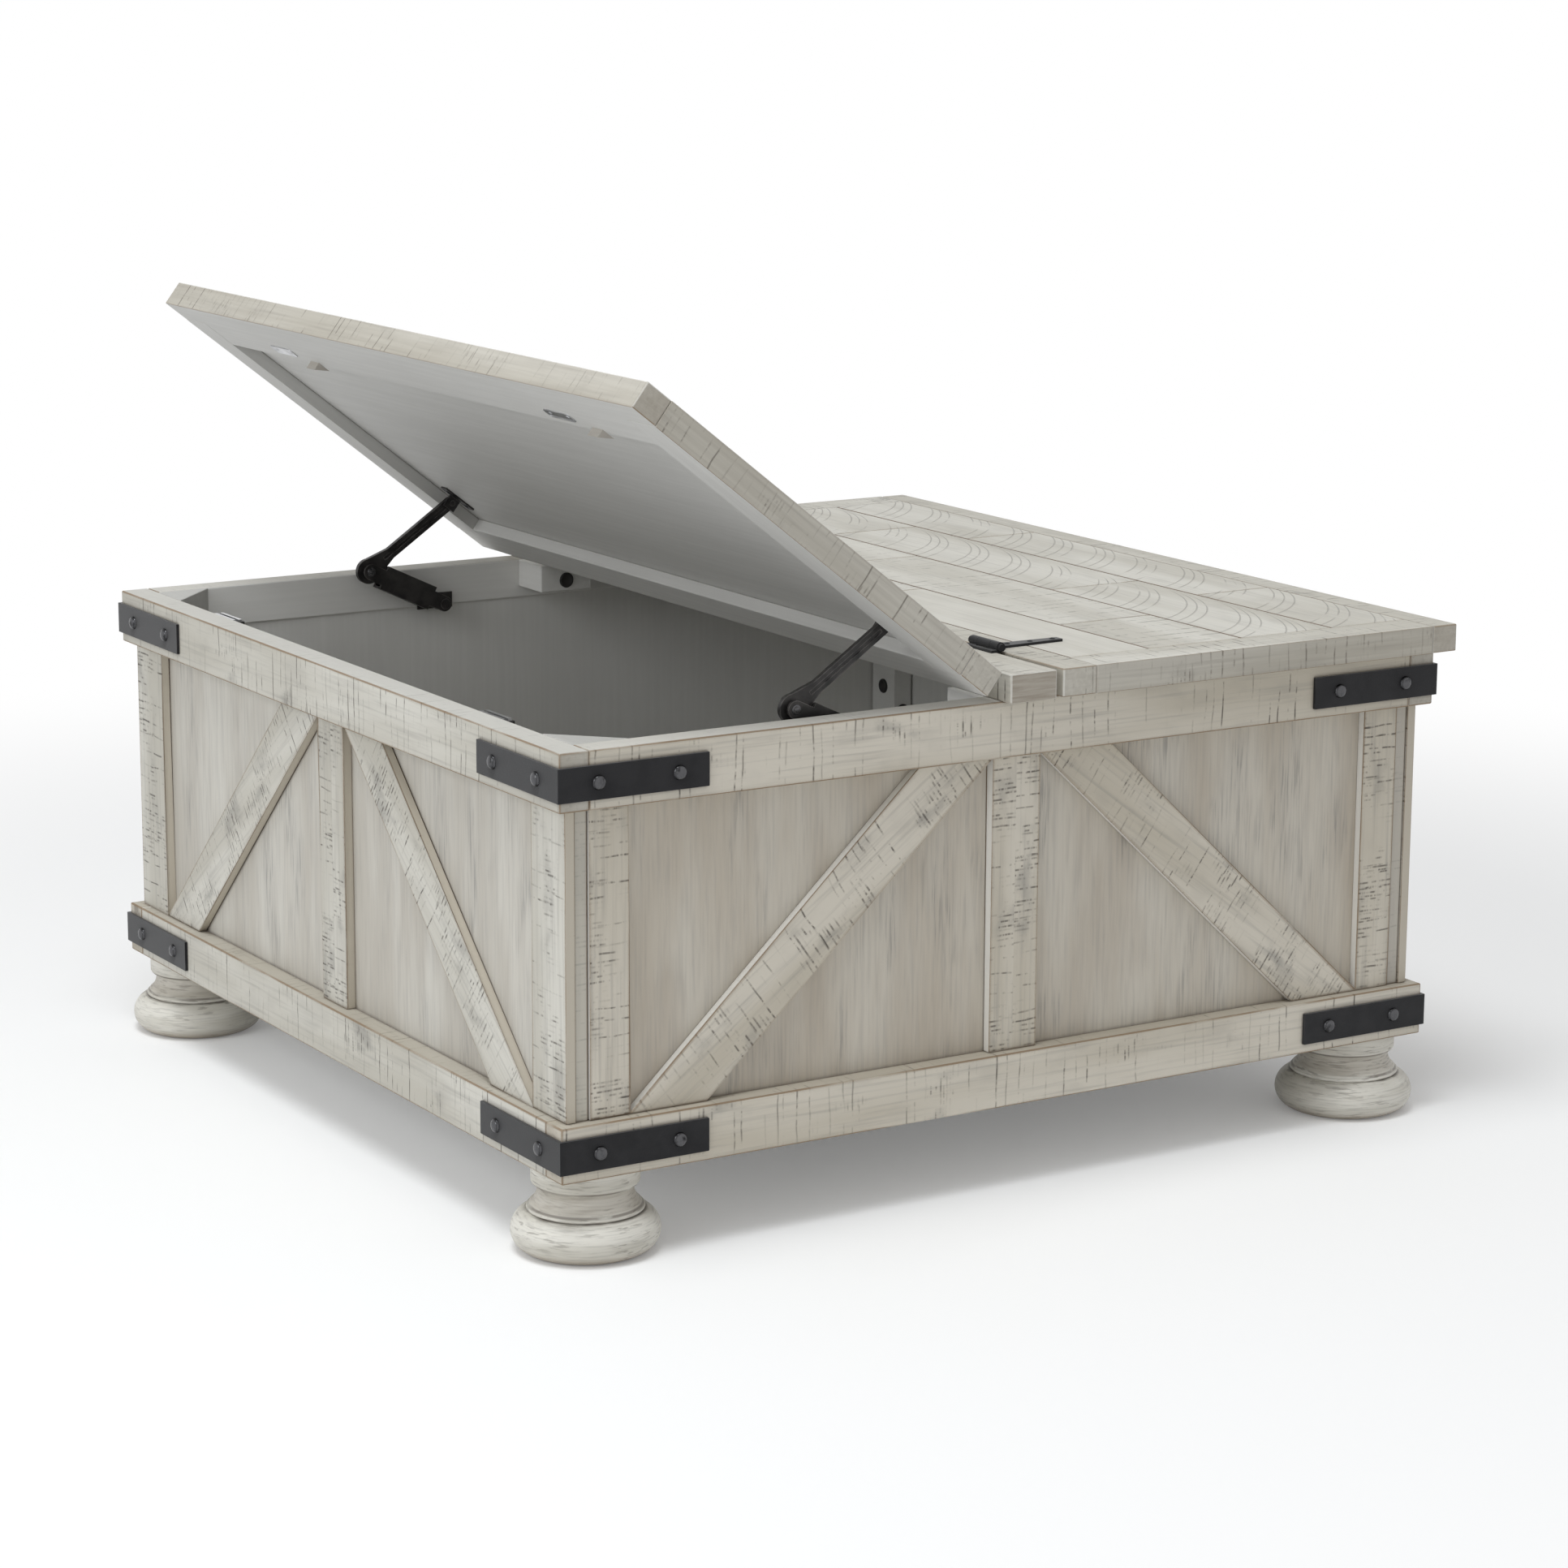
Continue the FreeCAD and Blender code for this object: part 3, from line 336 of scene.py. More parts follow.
def saw_marks(grain, step, width, share, dash, seed):
    """Dark lines across the grain; share is how many cells have one, and dash how long its pieces are."""
    drift = grain.noise(20.0, 16.0, 2.0, seed) - 0.5
    steps = grain.u / step + drift * 0.8 + seed
    cell = steps.floor()
    off = abs(steps - cell - (cell.luck() * 0.6 + 0.2)) * step
    line = off.smooth(width * 0.75, width * 0.25)
    strength = (cell + 0.5).luck().smooth(1.0 - share, 1.6 - share)
    pieces = grain.u.vector(cell * 7.3 + seed, grain.v / dash, grain.w / dash).noise(detail=4.0, roughness=0.75)
    return line * strength * pieces.smooth(0.44, 0.60)


def edge_wear(field, reach):
    """Near 0 on a flat face, rising to about 0.3 at an edge."""
    rounded = field.node("ShaderNodeBevel", {"samples": 4}, {"Radius": reach})
    plain = field.node("ShaderNodeNewGeometry", {}, {}, "Normal")
    return 1 - rounded.node("ShaderNodeVectorMath", {"operation": "DOT_PRODUCT"}, {0: rounded, 1: plain}, "Value")


def arris_line(facing):
    """1 on the rounded arris of a board that stands square to the table, 0 on its flat faces."""
    x, y, z = (abs(part) for part in facing.split())
    return (1 - x.most(y).most(z)).smooth(0.015, 0.050)


def corner_glaze_and_shade(facing, lean=0.0):
    """1 deep in the corner between two boards, 0 on an open face: glaze and painted shade. Lean turns the look
    towards -X.
    """
    x, y, z = facing.split()
    look = facing.vector(x - abs(y) * lean, y, z)
    sockets = {"Distance": CORNER_REACH, "Normal": look}
    openness = facing.node("ShaderNodeAmbientOcclusion", {"samples": 6}, sockets, "AO")
    return openness.smooth(0.80, 0.50)


print("grain helpers ready")

# %% [markdown]
# One function then mixes these into a colour. It starts from the wash, lays the streaks and the smudges of
# rubbed grey over it, draws the saw marks in dark glaze, and ends with the brown of the worn edges. The same
# marks give the height for the bump, because a saw mark is a groove.

# %% The whitewash recipe
WASH, PALE_WASH = (0.488, 0.466, 0.408), (0.608, 0.590, 0.535)
# The long walls take the warm tones: partly the wash, partly painted shade, the warmer cast of walls in shade.
COOL_TONES, WARM_TONES_AND_SHADE = (WASH, PALE_WASH), ((0.512, 0.468, 0.386), (0.634, 0.592, 0.512))
GREY_STAIN, BARE_BROWN, DARK_GLAZE = (0.250, 0.238, 0.218), (0.225, 0.155, 0.092), (0.070, 0.060, 0.051)
# The corner colour darkens corners as glaze and painted shade, and the joints on the lids as glaze.
TAN_GLAZE, CORNER_GLAZE_AND_SHADE = (0.385, 0.345, 0.275), (0.115, 0.085, 0.060)
END_BROWN, END_PALE = (0.290, 0.252, 0.205), (0.390, 0.352, 0.300)
MARK_STEP, MARK_WIDTH = 0.011, 0.0013
HATCH = {"step": 0.0046, "width": 0.0016, "share": 1.0, "dash": 0.012}
WEAR_REACH = 0.0040
WOOD_SHINE, SAWN_DEPTH, BRUSHED_DEPTH = 0.35, 0.0006, 0.0003


def whitewash(grain, seed, share, patch_from, dash=0.024, streak=0.4, wear=0.8, tones=COOL_TONES):
    """Colour and height of a washed board; the hatched patches shrink as patch_from rises."""
    pale = grain.noise(2.5, 16.0, 3.0, seed)
    fine = grain.noise(9.0, 260.0, 4.0, seed + 4.0)
    rubbed = grain.noise(22.0, 40.0, 4.0, seed + 8.0)
    bunch = grain.noise(9.0, 9.0, 2.0, seed + 12.0).smooth(0.38, 0.60)
    patch = grain.noise(16.0, 22.0, 3.0, seed + 20.0).smooth(patch_from, patch_from + 0.12)
    marks = saw_marks(grain, MARK_STEP, MARK_WIDTH, share, dash, seed) * (bunch * 0.7 + 0.3)
    strokes = saw_marks(grain, seed=seed + 30.0, **HATCH) * patch
    edge = edge_wear(grain.u, WEAR_REACH)
    worn = edge.smooth(0.015, 0.09) * grain.noise(11.0, 40.0, 3.0, seed + 16.0).smooth(0.28, 0.52)
    colour = pale.smooth(0.35, 0.65).tint(*tones)
    colour = (fine.smooth(0.46, 0.80) * streak).tint(colour, GREY_STAIN)
    colour = (rubbed.smooth(0.48, 0.72) * (patch * 0.65 + 0.25) * 0.6).tint(colour, GREY_STAIN)
    colour = (strokes * 0.75).tint(colour, DARK_GLAZE)
    colour = (marks * 0.8).tint(colour, DARK_GLAZE)
    colour = (worn * wear).tint(colour, BARE_BROWN)
    return colour, fine * 0.35 - marks - strokes * 0.6


def end_grain(grain, facing, axis, colour, strength):
    """Sawn ends drink more stain: darker and browner, in fine level streaks."""
    streaks = grain.u.vector(grain.u * 20.0, grain.v * 30.0, grain.w * 500.0).noise(detail=3.0)
    ends = abs(facing.split()[axis]).smooth(0.80, 0.97)
    return (ends * strength).tint(colour, streaks.smooth(0.30, 0.70).tint(END_BROWN, END_PALE))


def looks_inside(place, facing):
    """1 on upright faces that look to the middle of the table, 0 on all others."""
    (x, y, _), (facing_x, facing_y, _) = place.split(), facing.split()
    return (x * facing_x + y * facing_y).smooth(-0.10, -0.20)


def inner_grey(grain, seed, greys):
    """The smooth grey stain of the inside; greys are its darker and its paler tone."""
    cloud = grain.noise(3.0, 8.0, 4.0, seed)
    fine = grain.noise(7.0, 190.0, 4.0, seed + 3.0)
    return (fine.smooth(0.35, 0.70) * 0.35 + cloud.smooth(0.30, 0.70) * 0.4).tint(*greys)


# One grey stain in three tones: paler inside as painted light, darker under the lids and on the corner blocks as
# painted shade.
INSIDE_GREYS_AND_LIGHT = (0.700, 0.692, 0.665), (0.780, 0.772, 0.745)
UNDERSIDE_GREYS_AND_SHADE = (0.530, 0.524, 0.503), (0.620, 0.614, 0.592)
WEDGE_GREYS = (0.400, 0.372, 0.330), (0.480, 0.455, 0.415)
BLOCK_GREYS_AND_SHADE = (0.430, 0.424, 0.400), (0.500, 0.494, 0.470)
print("whitewash recipe ready")

# %% [markdown]
# ## Rails
#
# The grain of the base and upper rails runs along the wall, so the saw marks stand upright. The faces that look
# inside carry the smooth grey stain, painted paler as light on the shaded inside, the rim on top is pale and
# rubbed smooth, and the ledge on top of the base rail has kept more of the tan glaze.

# %% Paint the rails
PALE_RIM, RIM_BAND = (0.590, 0.580, 0.545), 0.004
# The long rails take the warm tones, partly painted shade.
LONG_RAIL = {"share": 0.85, "dash": 0.030, "patch_from": 0.58, "tones": WARM_TONES_AND_SHADE}
SHORT_RAIL = {"share": 1.0, "dash": 0.045, "patch_from": 0.58, "tones": COOL_TONES}
LONG_SHIFT, SHORT_SHIFT = 2.3, 3.1


def rail_finish(name, along_x, seed):
    material, place, facing = start_material(name, WOOD_SHINE)
    x, y, z = place.split()
    if along_x:
        grain = Grain(x + y.math("SIGN") * LONG_SHIFT, y, z)
    else:
        grain = Grain(y + x.math("SIGN") * SHORT_SHIFT, x, z)
    colour, height = whitewash(grain, seed, **(LONG_RAIL if along_x else SHORT_RAIL))
    colour = end_grain(grain, facing, 0 if along_x else 1, colour, 0.35)
    up = facing.split()[2].smooth(0.60, 0.80)
    rim = up * z.above(rim_z - RIM_BAND)
    ledge = up * (1 - z.above(wall_high))
    colour = (rim * 0.75).tint(colour, PALE_RIM)
    colour = (ledge * 0.55).tint(colour, TAN_GLAZE)
    rubbed = grain.noise(9.0, 30.0, 3.0, seed + 22.0).smooth(0.28, 0.50)
    colour = (arris_line(facing) * rubbed * 0.85).tint(colour, BARE_BROWN)
    # The corners between boards are darkened: glaze, and painted shade.
    colour = (corner_glaze_and_shade(facing) * 0.6).tint(colour, CORNER_GLAZE_AND_SHADE)
    inside = looks_inside(place, facing)
    colour = inside.tint(colour, inner_grey(grain, seed, INSIDE_GREYS_AND_LIGHT))
    return close_material(material, colour, 0.66 - height * 0.08, height * (1 - inside), SAWN_DEPTH)


paint(rail_finish("rail_wash_long", True, 1.7), *rails_on(LONG_WALLS))
paint(rail_finish("rail_wash_short", False, 5.9), *rails_on(SHORT_WALLS))

# %% [markdown]
# ## Wall panels
#
# The panels are thin boards with upright grain. They show soft clouds of beige and pale grey, short smudges of
# dark grey thread along the grain, and no saw marks, so they are painted as brushed, not sawn. The long walls
# are painted warmer, more beige and a little darker than the short ones, partly as the wash and partly as painted
# shade. On the long walls a dark line lies on the panels to the right of each stile and brace and hardly to the
# left: some glaze in the corner, and a painted shadow that the boards cast to one side.

# %% Paint the wall panels
# The long-wall panel tones are warmer and darker: partly the wash, partly painted shade.
LONG_PANEL_AND_SHADE = (0.492, 0.442, 0.368), (0.578, 0.540, 0.470)
SHORT_PANEL = (0.490, 0.462, 0.410), (0.596, 0.576, 0.524)
PANEL_BEIGE, PANEL_GREY, PANEL_SMUDGE = (0.392, 0.338, 0.272), (0.255, 0.248, 0.240), (0.158, 0.154, 0.152)
PANEL_SHADOW_LEAN = 0.9


def panel_finish():
    material, place, facing = start_material("panel_wash", WOOD_SHINE)
    x, y, z = place.split()
    grain = Grain(z, x, y)
    broad = grain.noise(2.4, 11.0, 4.0, 2.0)
    beige = grain.noise(3.5, 14.0, 4.0, 24.0)
    middle = grain.noise(9.0, 60.0, 4.0, 6.0)
    fine = grain.noise(16.0, 320.0, 4.0, 9.0)
    smudge = grain.noise(6.0, 22.0, 3.0, 14.0)
    thread = grain.noise(22.0, 460.0, 4.0, 19.0)
    long_wall = abs(facing.split()[1]).smooth(0.3, 0.7)
    shade = (broad * 0.8 + middle * 0.2).smooth(0.38, 0.62)
    colour = long_wall.tint(shade.tint(*SHORT_PANEL), shade.tint(*LONG_PANEL_AND_SHADE))
    colour = (beige.smooth(0.48, 0.68) * (long_wall * 0.30 + 0.12)).tint(colour, PANEL_BEIGE)
    colour = (fine.smooth(0.42, 0.78) * 0.26).tint(colour, PANEL_GREY)
    smoke = smudge.smooth(0.52, 0.70)
    colour = (smoke * 0.12).tint(colour, PANEL_GREY)
    colour = ((smoke * 0.85 + 0.10) * thread.smooth(0.48, 0.64) * 0.52).tint(colour, PANEL_SMUDGE)
    # Painted shadow to the right of each stile and brace on the long walls, with some glaze in the corners.
    colour = (corner_glaze_and_shade(facing, PANEL_SHADOW_LEAN) * 0.65).tint(colour, CORNER_GLAZE_AND_SHADE)
    inside = looks_inside(place, facing)
    colour = inside.tint(colour, inner_grey(grain, 0.0, INSIDE_GREYS_AND_LIGHT))
    return close_material(material, colour, 0.62 + fine * 0.08, fine * (1 - inside), BRUSHED_DEPTH)


paint(panel_finish(), *[f"wall_panel_{side}" for side in SIDES])

# %% [markdown]
# ## Stiles and braces
#
# Each wall carries upright stiles and two braces that rise to the middle. All of them are one node, so the
# material itself has to turn the grain: between the centre stile and the corner stile it follows the brace,
# and elsewhere it stands upright. The thin sides of these boards, and the narrow laths beside the corner
# stiles of the long walls, were not sawn rough, so they carry a plain wash. The sides are pale on the long walls
# and tan on the short ones: partly the wash, and partly painted light on the long walls' sides and painted shade
# on the short walls' sides. A fine line along the arrises is rubbed down to the wood.

# %% Paint the stiles and braces
CENTRE_STILE_EDGE = 0.0255
LONG_WALL_STILE, SHORT_WALL_STILE = 0.3937, 0.3875
LONG_WALL_LATH, NO_LATH = 0.4321, 1.0
LATH_TAN = (0.440, 0.412, 0.370)
SIDE_PALE_AND_LIGHT, SIDE_TAN_AND_SHADE = (0.760, 0.742, 0.700), (0.510, 0.462, 0.380)
HALF_SHIFT, WALL_SHIFT = 4.7, 2.9


def trim_finish(name, corner, lath, axis, seed):
    material, place, facing = start_material(name, WOOD_SHINE)
    run, rise = corner - CENTRE_STILE_EDGE, wall_high - wall_low
    length = math.hypot(run, rise)
    parts, directions = place.split(), facing.split()
    along, depth, z = parts[axis], parts[1 - axis], parts[2]
    across = abs(along)
    on_brace = across.above(CENTRE_STILE_EDGE) * (1 - across.above(corner))
    climb = z * (rise / length) - across * (run / length)
    width = z * (run / length) + across * (rise / length)
    u = z + on_brace * (climb - z) + along.math("SIGN") * HALF_SHIFT
    v = across + on_brace * (width - across)
    grain = Grain(u + depth.math("SIGN") * WALL_SHIFT, v, depth)
    # The long walls take the warm tones, partly painted shade.
    colour, height = whitewash(grain, seed, share=0.8, dash=0.016, patch_from=0.47,
                               tones=COOL_TONES if axis else WARM_TONES_AND_SHADE)
    outside = abs(directions[1 - axis])
    side = outside.smooth(0.45, 0.25)
    arris = outside.smooth(0.25, 0.45) * outside.smooth(0.98, 0.94)
    plain = across.above(lath).most(side)
    plain_wash = grain.noise(3.0, 60.0, 3.0, seed).smooth(0.35, 0.65).tint(LATH_TAN, WASH)
    colour = (plain * 0.75).tint(colour, plain_wash)
    # Painted light and shade: the sides are pale on the long walls and tan on the short ones, partly as wash.
    colour = (side * (0.85 - across.above(lath) * 0.60)).tint(colour, SIDE_TAN_AND_SHADE if axis else SIDE_PALE_AND_LIGHT)
    colour = (arris * grain.noise(12.0, 30.0, 3.0, seed + 27.0).smooth(0.25, 0.50) * 0.75).tint(colour, BARE_BROWN)
    # The corners between boards are darkened, less on the sides: glaze, and painted shade.
    colour = (corner_glaze_and_shade(facing) * (0.5 - side * 0.4)).tint(colour, CORNER_GLAZE_AND_SHADE)
    return close_material(material, colour, 0.66 - height * 0.08, height * (1 - plain), SAWN_DEPTH)


paint(trim_finish("trim_wash_long", LONG_WALL_STILE, LONG_WALL_LATH, 0, 3.3), "trim_front", "trim_back")
paint(trim_finish("trim_wash_short", SHORT_WALL_STILE, NO_LATH, 1, 7.1), "trim_left", "trim_right")

# %% [markdown]
# ## Lids
#
# Each lid is a frame of four boards round a field of planks, and the two share their recipes. The outer sides of
# the frame look darker and browner than the top, so they are painted as rubbed back further. The ends of the hinge
# boards take the pattern of the boards beside them, so that the front edge reads as one. The upright arrises carry
# a pale line, a painted highlight where the rounded edge catches the light, and the lower ones show bare wood.
# Round the top the arrises show bare brown wood on the right lid and the same painted highlight on the left one and
# the centre strip. Glaze stays dark in the joints on top. Below, the lid is grey, painted darker than the inside as
# shade.

# %% Paint the lid frames and the centre strip
LID_MIDDLE = (row_borders[0] + row_borders[-1]) / 2
EDGE_WASH, EDGE_TAN, ARRIS_HIGHLIGHT = (0.410, 0.378, 0.320), (0.310, 0.276, 0.226), (0.700, 0.690, 0.650)
TOP_ARRIS_HIGHLIGHT_AND_WEAR = {"left_lid": ARRIS_HIGHLIGHT, "right_lid": BARE_BROWN, "cabinet": ARRIS_HIGHLIGHT}
ARRIS_DEPTH, HINGE_BOARD_END, END_SEED = 0.012, (0.120, 0.100), 1.6
BOARD_MARKS = {"share": 1.0, "dash": 0.034, "patch_from": 0.56, "wear": 0.3}


def board_finish(name, body, along_x, seed):
    is_lid = float(body != "cabinet")
    material, place, facing = start_material(name, WOOD_SHINE)
    place, facing = shut_place(place, facing, body)
    x, y, z = place.split()
    grain = Grain(x, y, z) if along_x else Grain(y, x, z)
    colour, height = whitewash(grain, seed, **BOARD_MARKS)
    fx, fy, fz = facing.split()
    apart = y.math("SIGN") * fy if along_x else (x - LID_MIDDLE).math("SIGN") * fx
    if is_lid and not along_x:
        hinge_end = abs(fy).smooth(0.80, 0.97) * abs(x).smooth(*HINGE_BOARD_END)
        colour = hinge_end.tint(colour, whitewash(Grain(x, y, z), seed + END_SEED, **BOARD_MARKS)[0])
    else:
        hinge_end = fx * 0.0
    sides = apart.most(abs(fy)).smooth(0.30, 0.60) * is_lid
    rubbed = grain.noise(6.0, 240.0, 4.0, seed + 25.0).smooth(0.35, 0.65).tint(EDGE_TAN, EDGE_WASH)
    colour = (sides * 0.42).tint(colour, rubbed)
    colour = end_grain(grain, facing, 0 if along_x else 1, colour, (0.9 - 0.55 * is_lid) * (1 - hinge_end))
    arris = arris_line(facing) * grain.noise(14.0, 40.0, 3.0, seed + 28.0).smooth(0.22, 0.46)
    upper = z.above(top_z - ARRIS_DEPTH)
    hidden = fz.smooth(-0.60, -0.80).most(apart.smooth(-0.60, -0.80) * is_lid)
    # The underside takes the darker grey, painted shade.
    colour = hidden.tint(colour, inner_grey(grain, seed, UNDERSIDE_GREYS_AND_SHADE))
    joint = apart.smooth(-0.10, -0.30)
    if along_x:
        joint = joint.most(abs(fx).smooth(0.30, 0.50))
    open_arris = arris * (1 - joint * is_lid)
    upright = abs(fz).smooth(0.35, 0.15)
    level = open_arris * (1 - upright)
    # The pale arris line is a painted highlight. Round the top the right lid shows bare brown wood instead.
    colour = (open_arris * upright * 0.55).tint(colour, ARRIS_HIGHLIGHT)
    colour = (level * upper * 0.55).tint(colour, TOP_ARRIS_HIGHLIGHT_AND_WEAR[body])
    colour = (level * (1 - upper) * sides * 0.85).tint(colour, BARE_BROWN)
    colour = (arris * joint * is_lid * upper * fz.smooth(0.30, 0.50) * 0.6).tint(colour, CORNER_GLAZE_AND_SHADE)
    return close_material(material, colour, 0.64 - height * 0.08, height * (1 - hidden), SAWN_DEPTH)


for hand, seed in (("left", 2.4), ("right", 9.2)):
    body = f"{hand}_lid"
    long_wash = board_finish(f"{body}_wash_long", body, False, seed)
    end_wash = board_finish(f"{body}_wash_end", body, True, seed + END_SEED)
    paint(long_wash, f"{body}_hinge_board", f"{body}_edge_board")
    paint(end_wash, f"{body}_front_board", f"{body}_back_board")
paint(board_finish("strip_wash", "cabinet", False, 6.6), "centre_strip")

# %% [markdown]
# The planks look sawn. Every other row carries groups of three shallow arcs, as a round blade of about 180 mm
# radius would leave, and the rows between carry short nicks across the grain. An arc of that radius through a
# point on the plank has its centre at one place along the row, so that place, taken in steps, repeats the group
# down the row. The joints between planks hold a thin line of brown glaze.

# %% Paint the planks
BLADE_RADIUS, BLADE_OFFSET = 0.180, 0.079
ARC_GROUP, ARC_PLACES, ARC_WIDTH = 0.075, (0.014, 0.030, 0.046), 0.0014
ROW_SHIFT, ARC_STRAY = 0.37, 0.010
NICKS = {"step": 0.018, "width": 0.0030, "share": 1.0, "dash": 0.018}
JOINT_BROWN, SEAM_WIDTH, CUT_WIDTH = (0.150, 0.110, 0.080), (0.0014, 0.0005), (0.0011, 0.0004)
PLANK_SHIFT = 1.37


def pick_row(x, values):
    """The value that belongs to the row of planks at x."""
    picked = x * 0.0 + values[0]
    for border, before, after in zip(row_borders[1:-1], values, values[1:]):
        picked = picked + x.above(border) * (after - before)
    return picked


def blade_arcs(x, y, row, grain):
    """Groups of shallow arcs that repeat down a row of planks."""
    sideways = x - pick_row(x, row_borders[:-1]) + BLADE_OFFSET
    centre = 0 - y - (BLADE_RADIUS ** 2 - sideways * sideways).math("SQRT")
    steps = centre / ARC_GROUP + row * ROW_SHIFT
    cell = steps.floor()
    local = (steps - cell) * ARC_GROUP + (cell.luck() - 0.5) * ARC_STRAY
    arcs = local * 0.0
    for spot in ARC_PLACES:
        arcs = arcs + abs(local - spot).smooth(ARC_WIDTH, ARC_WIDTH * 0.3)
    return arcs * grain.noise(20.0, 20.0, 2.0, 3.0).smooth(0.34, 0.52)


def plank_joints(x, y, first, second):
    """1 along the seams between rows, a little less at the cuts across them."""
    seam = abs(x - row_borders[0])
    for border in row_borders[1:]:
        seam = seam.least(abs(x - border))
    cut = abs(y - first).least(abs(y - second))
    return (seam.smooth(*SEAM_WIDTH) + cut.smooth(*CUT_WIDTH) * 0.6).least(1.0)


def plank_finish(hand, seed):
    material, place, facing = start_material(f"{hand}_plank_wash", WOOD_SHINE)
    x, y, z = shut_place(place, facing, f"{hand}_lid")[0].split()
    first, second = [pick_row(x, [cuts[i] for cuts in row_cuts]) for i in (0, 1)]
    row, has_arcs = pick_row(x, [0.0, 1.0, 2.0, 3.0]), pick_row(x, [0.0, 1.0, 0.0, 1.0])
    number = row * 3.0 + y.above(first) + y.above(second) + seed
    grain = Grain(y + number * PLANK_SHIFT, x, z)
    colour, height = whitewash(grain, seed, share=0.0, patch_from=0.80, streak=0.35)
    colour = (number.luck() * 0.35).tint(colour, PALE_WASH)
    arcs = blade_arcs(x, y, row, grain) * has_arcs
    nicks = saw_marks(grain, seed=seed + 2.0, **NICKS)
    nicks = nicks * (1 - has_arcs) * (number + 0.3).luck().smooth(0.35, 0.60)
    colour = (arcs * 0.42).tint(colour, GREY_STAIN)
    colour = (nicks * 0.55).tint(colour, DARK_GLAZE)
    colour = (plank_joints(x, y, first, second) * 0.85).tint(colour, JOINT_BROWN)
    return close_material(material, colour, 0.60 - height * 0.08, height - arcs - nicks * 0.6, SAWN_DEPTH)


for hand, seed in (("left", 40.0), ("right", 17.0)):
    paint(plank_finish(hand, seed), f"{hand}_lid_planks")

# %% [markdown]
# ## The grey inside
#
# The floor, the posts and blocks in the corners, the cleats and the underside of the lids are a smooth grey. The
# grain shows faintly, with soft clouds and a few fine scratches. The one grey is painted in three tones: paler
# inside the box as painted light, and darker under the lids and on the corner blocks as painted shade.

# %% Paint the inside
SCRATCHES = {"step": 0.020, "width": 0.0008, "share": 0.30, "dash": 0.020}


def inside_finish(name, body, greys, seed):
    material, place, facing = start_material(name, 0.40)
    x, y, z = shut_place(place, facing, body)[0].split()
    grain = Grain(y, x, z)
    colour = inner_grey(grain, seed, greys)
    askew = Grain(x + y * 0.4, y - x * 0.3, z)
    scratch = saw_marks(askew, seed=seed, **SCRATCHES)
    colour = (scratch * 0.25).tint(colour, PALE_WASH)
    fine = grain.noise(8.0, 210.0, 3.0, seed)
    return close_material(material, colour, 0.50 + fine * 0.12, fine, 0.00015)


# Painted light inside the box, and painted shade on the corner blocks and under the lids.
paint(inside_finish("inside_stain_and_light", "cabinet", INSIDE_GREYS_AND_LIGHT, 1.0), "floor_panel", "corner_posts", "strip_cleats")
paint(inside_finish("block_stain_and_shade", "cabinet", BLOCK_GREYS_AND_SHADE, 2.0), "corner_blocks")
for hand in HANDS:
    body = f"{hand}_lid"
    paint(inside_finish(f"{hand}_underside_stain_and_shade", body, UNDERSIDE_GREYS_AND_SHADE, 4.0), f"{body}_panel")
    paint(inside_finish(f"{hand}_wedge_stain", body, WEDGE_GREYS, 7.0), f"{body}_wedges")

# %% [markdown]
# ## Turned feet
#
# The bun feet look as if they were brushed while they spun on the lathe: the streaks lie level, round the foot.
# Stretching the noise along the turn needs only a high scale in z and a low one in x and y.

# %% Paint the feet
FOOT_DARK, FOOT_BROWN_AND_SHADE = (0.130, 0.108, 0.088), (0.330, 0.285, 0.230)
FOOT_WASH, FOOT_PALE = (0.545, 0.522, 0.458), (0.690, 0.670, 0.610)
FOOT_GROOVES = (0.0362, 0.0405, 0.0600)
GROOVE_WIDTH, SCUFF = (0.0014, 0.0005), (0.012, 0.001)
NECK_LOW, NECK_HIGH = (0.040, 0.044), (0.060, 0.056)


def foot_finish():
    material, place, _ = start_material("foot_wash", 0.50)
    x, y, z = place.split()
    grain = Grain(x + y * 0.6, z, y * 0.12)
    broad = grain.noise(9.0, 60.0, 3.0, 2.0)
    fine = grain.noise(20.0, 620.0, 4.0, 5.0)
    dash = grain.noise(70.0, 520.0, 3.0, 9.0)
    group = grain.noise(24.0, 70.0, 3.0, 13.0)
    colour = broad.smooth(0.35, 0.65).tint(FOOT_WASH, FOOT_PALE)
    colour = (fine.smooth(0.45, 0.75) * 0.36).tint(colour, GREY_STAIN)
    # The recessed neck is browner: stain, and painted shade.
    neck = z.smooth(*NECK_LOW) * z.smooth(*NECK_HIGH)
    colour = (neck * (fine * 0.5 + 0.15)).tint(colour, FOOT_BROWN_AND_SHADE)
    colour = (dash.smooth(0.54, 0.64) * group.smooth(0.40, 0.62) * 0.48).tint(colour, FOOT_DARK)
    ragged = grain.noise(40.0, 40.0, 3.0, 17.0).smooth(0.30, 0.55)
    # Dark lines in the grooves: glaze, and painted shade in the creases.
    for groove in FOOT_GROOVES:
        colour = (abs(z - groove).smooth(*GROOVE_WIDTH) * ragged * 0.75).tint(colour, FOOT_DARK)
    colour = (z.smooth(*SCUFF) * 0.5).tint(colour, BARE_BROWN)
    return close_material(material, colour, 0.42 + fine * 0.14, fine, BRUSHED_DEPTH)


paint(foot_finish(), *[f"foot_{end}_{hand}" for end in ("front", "back") for hand in HANDS])

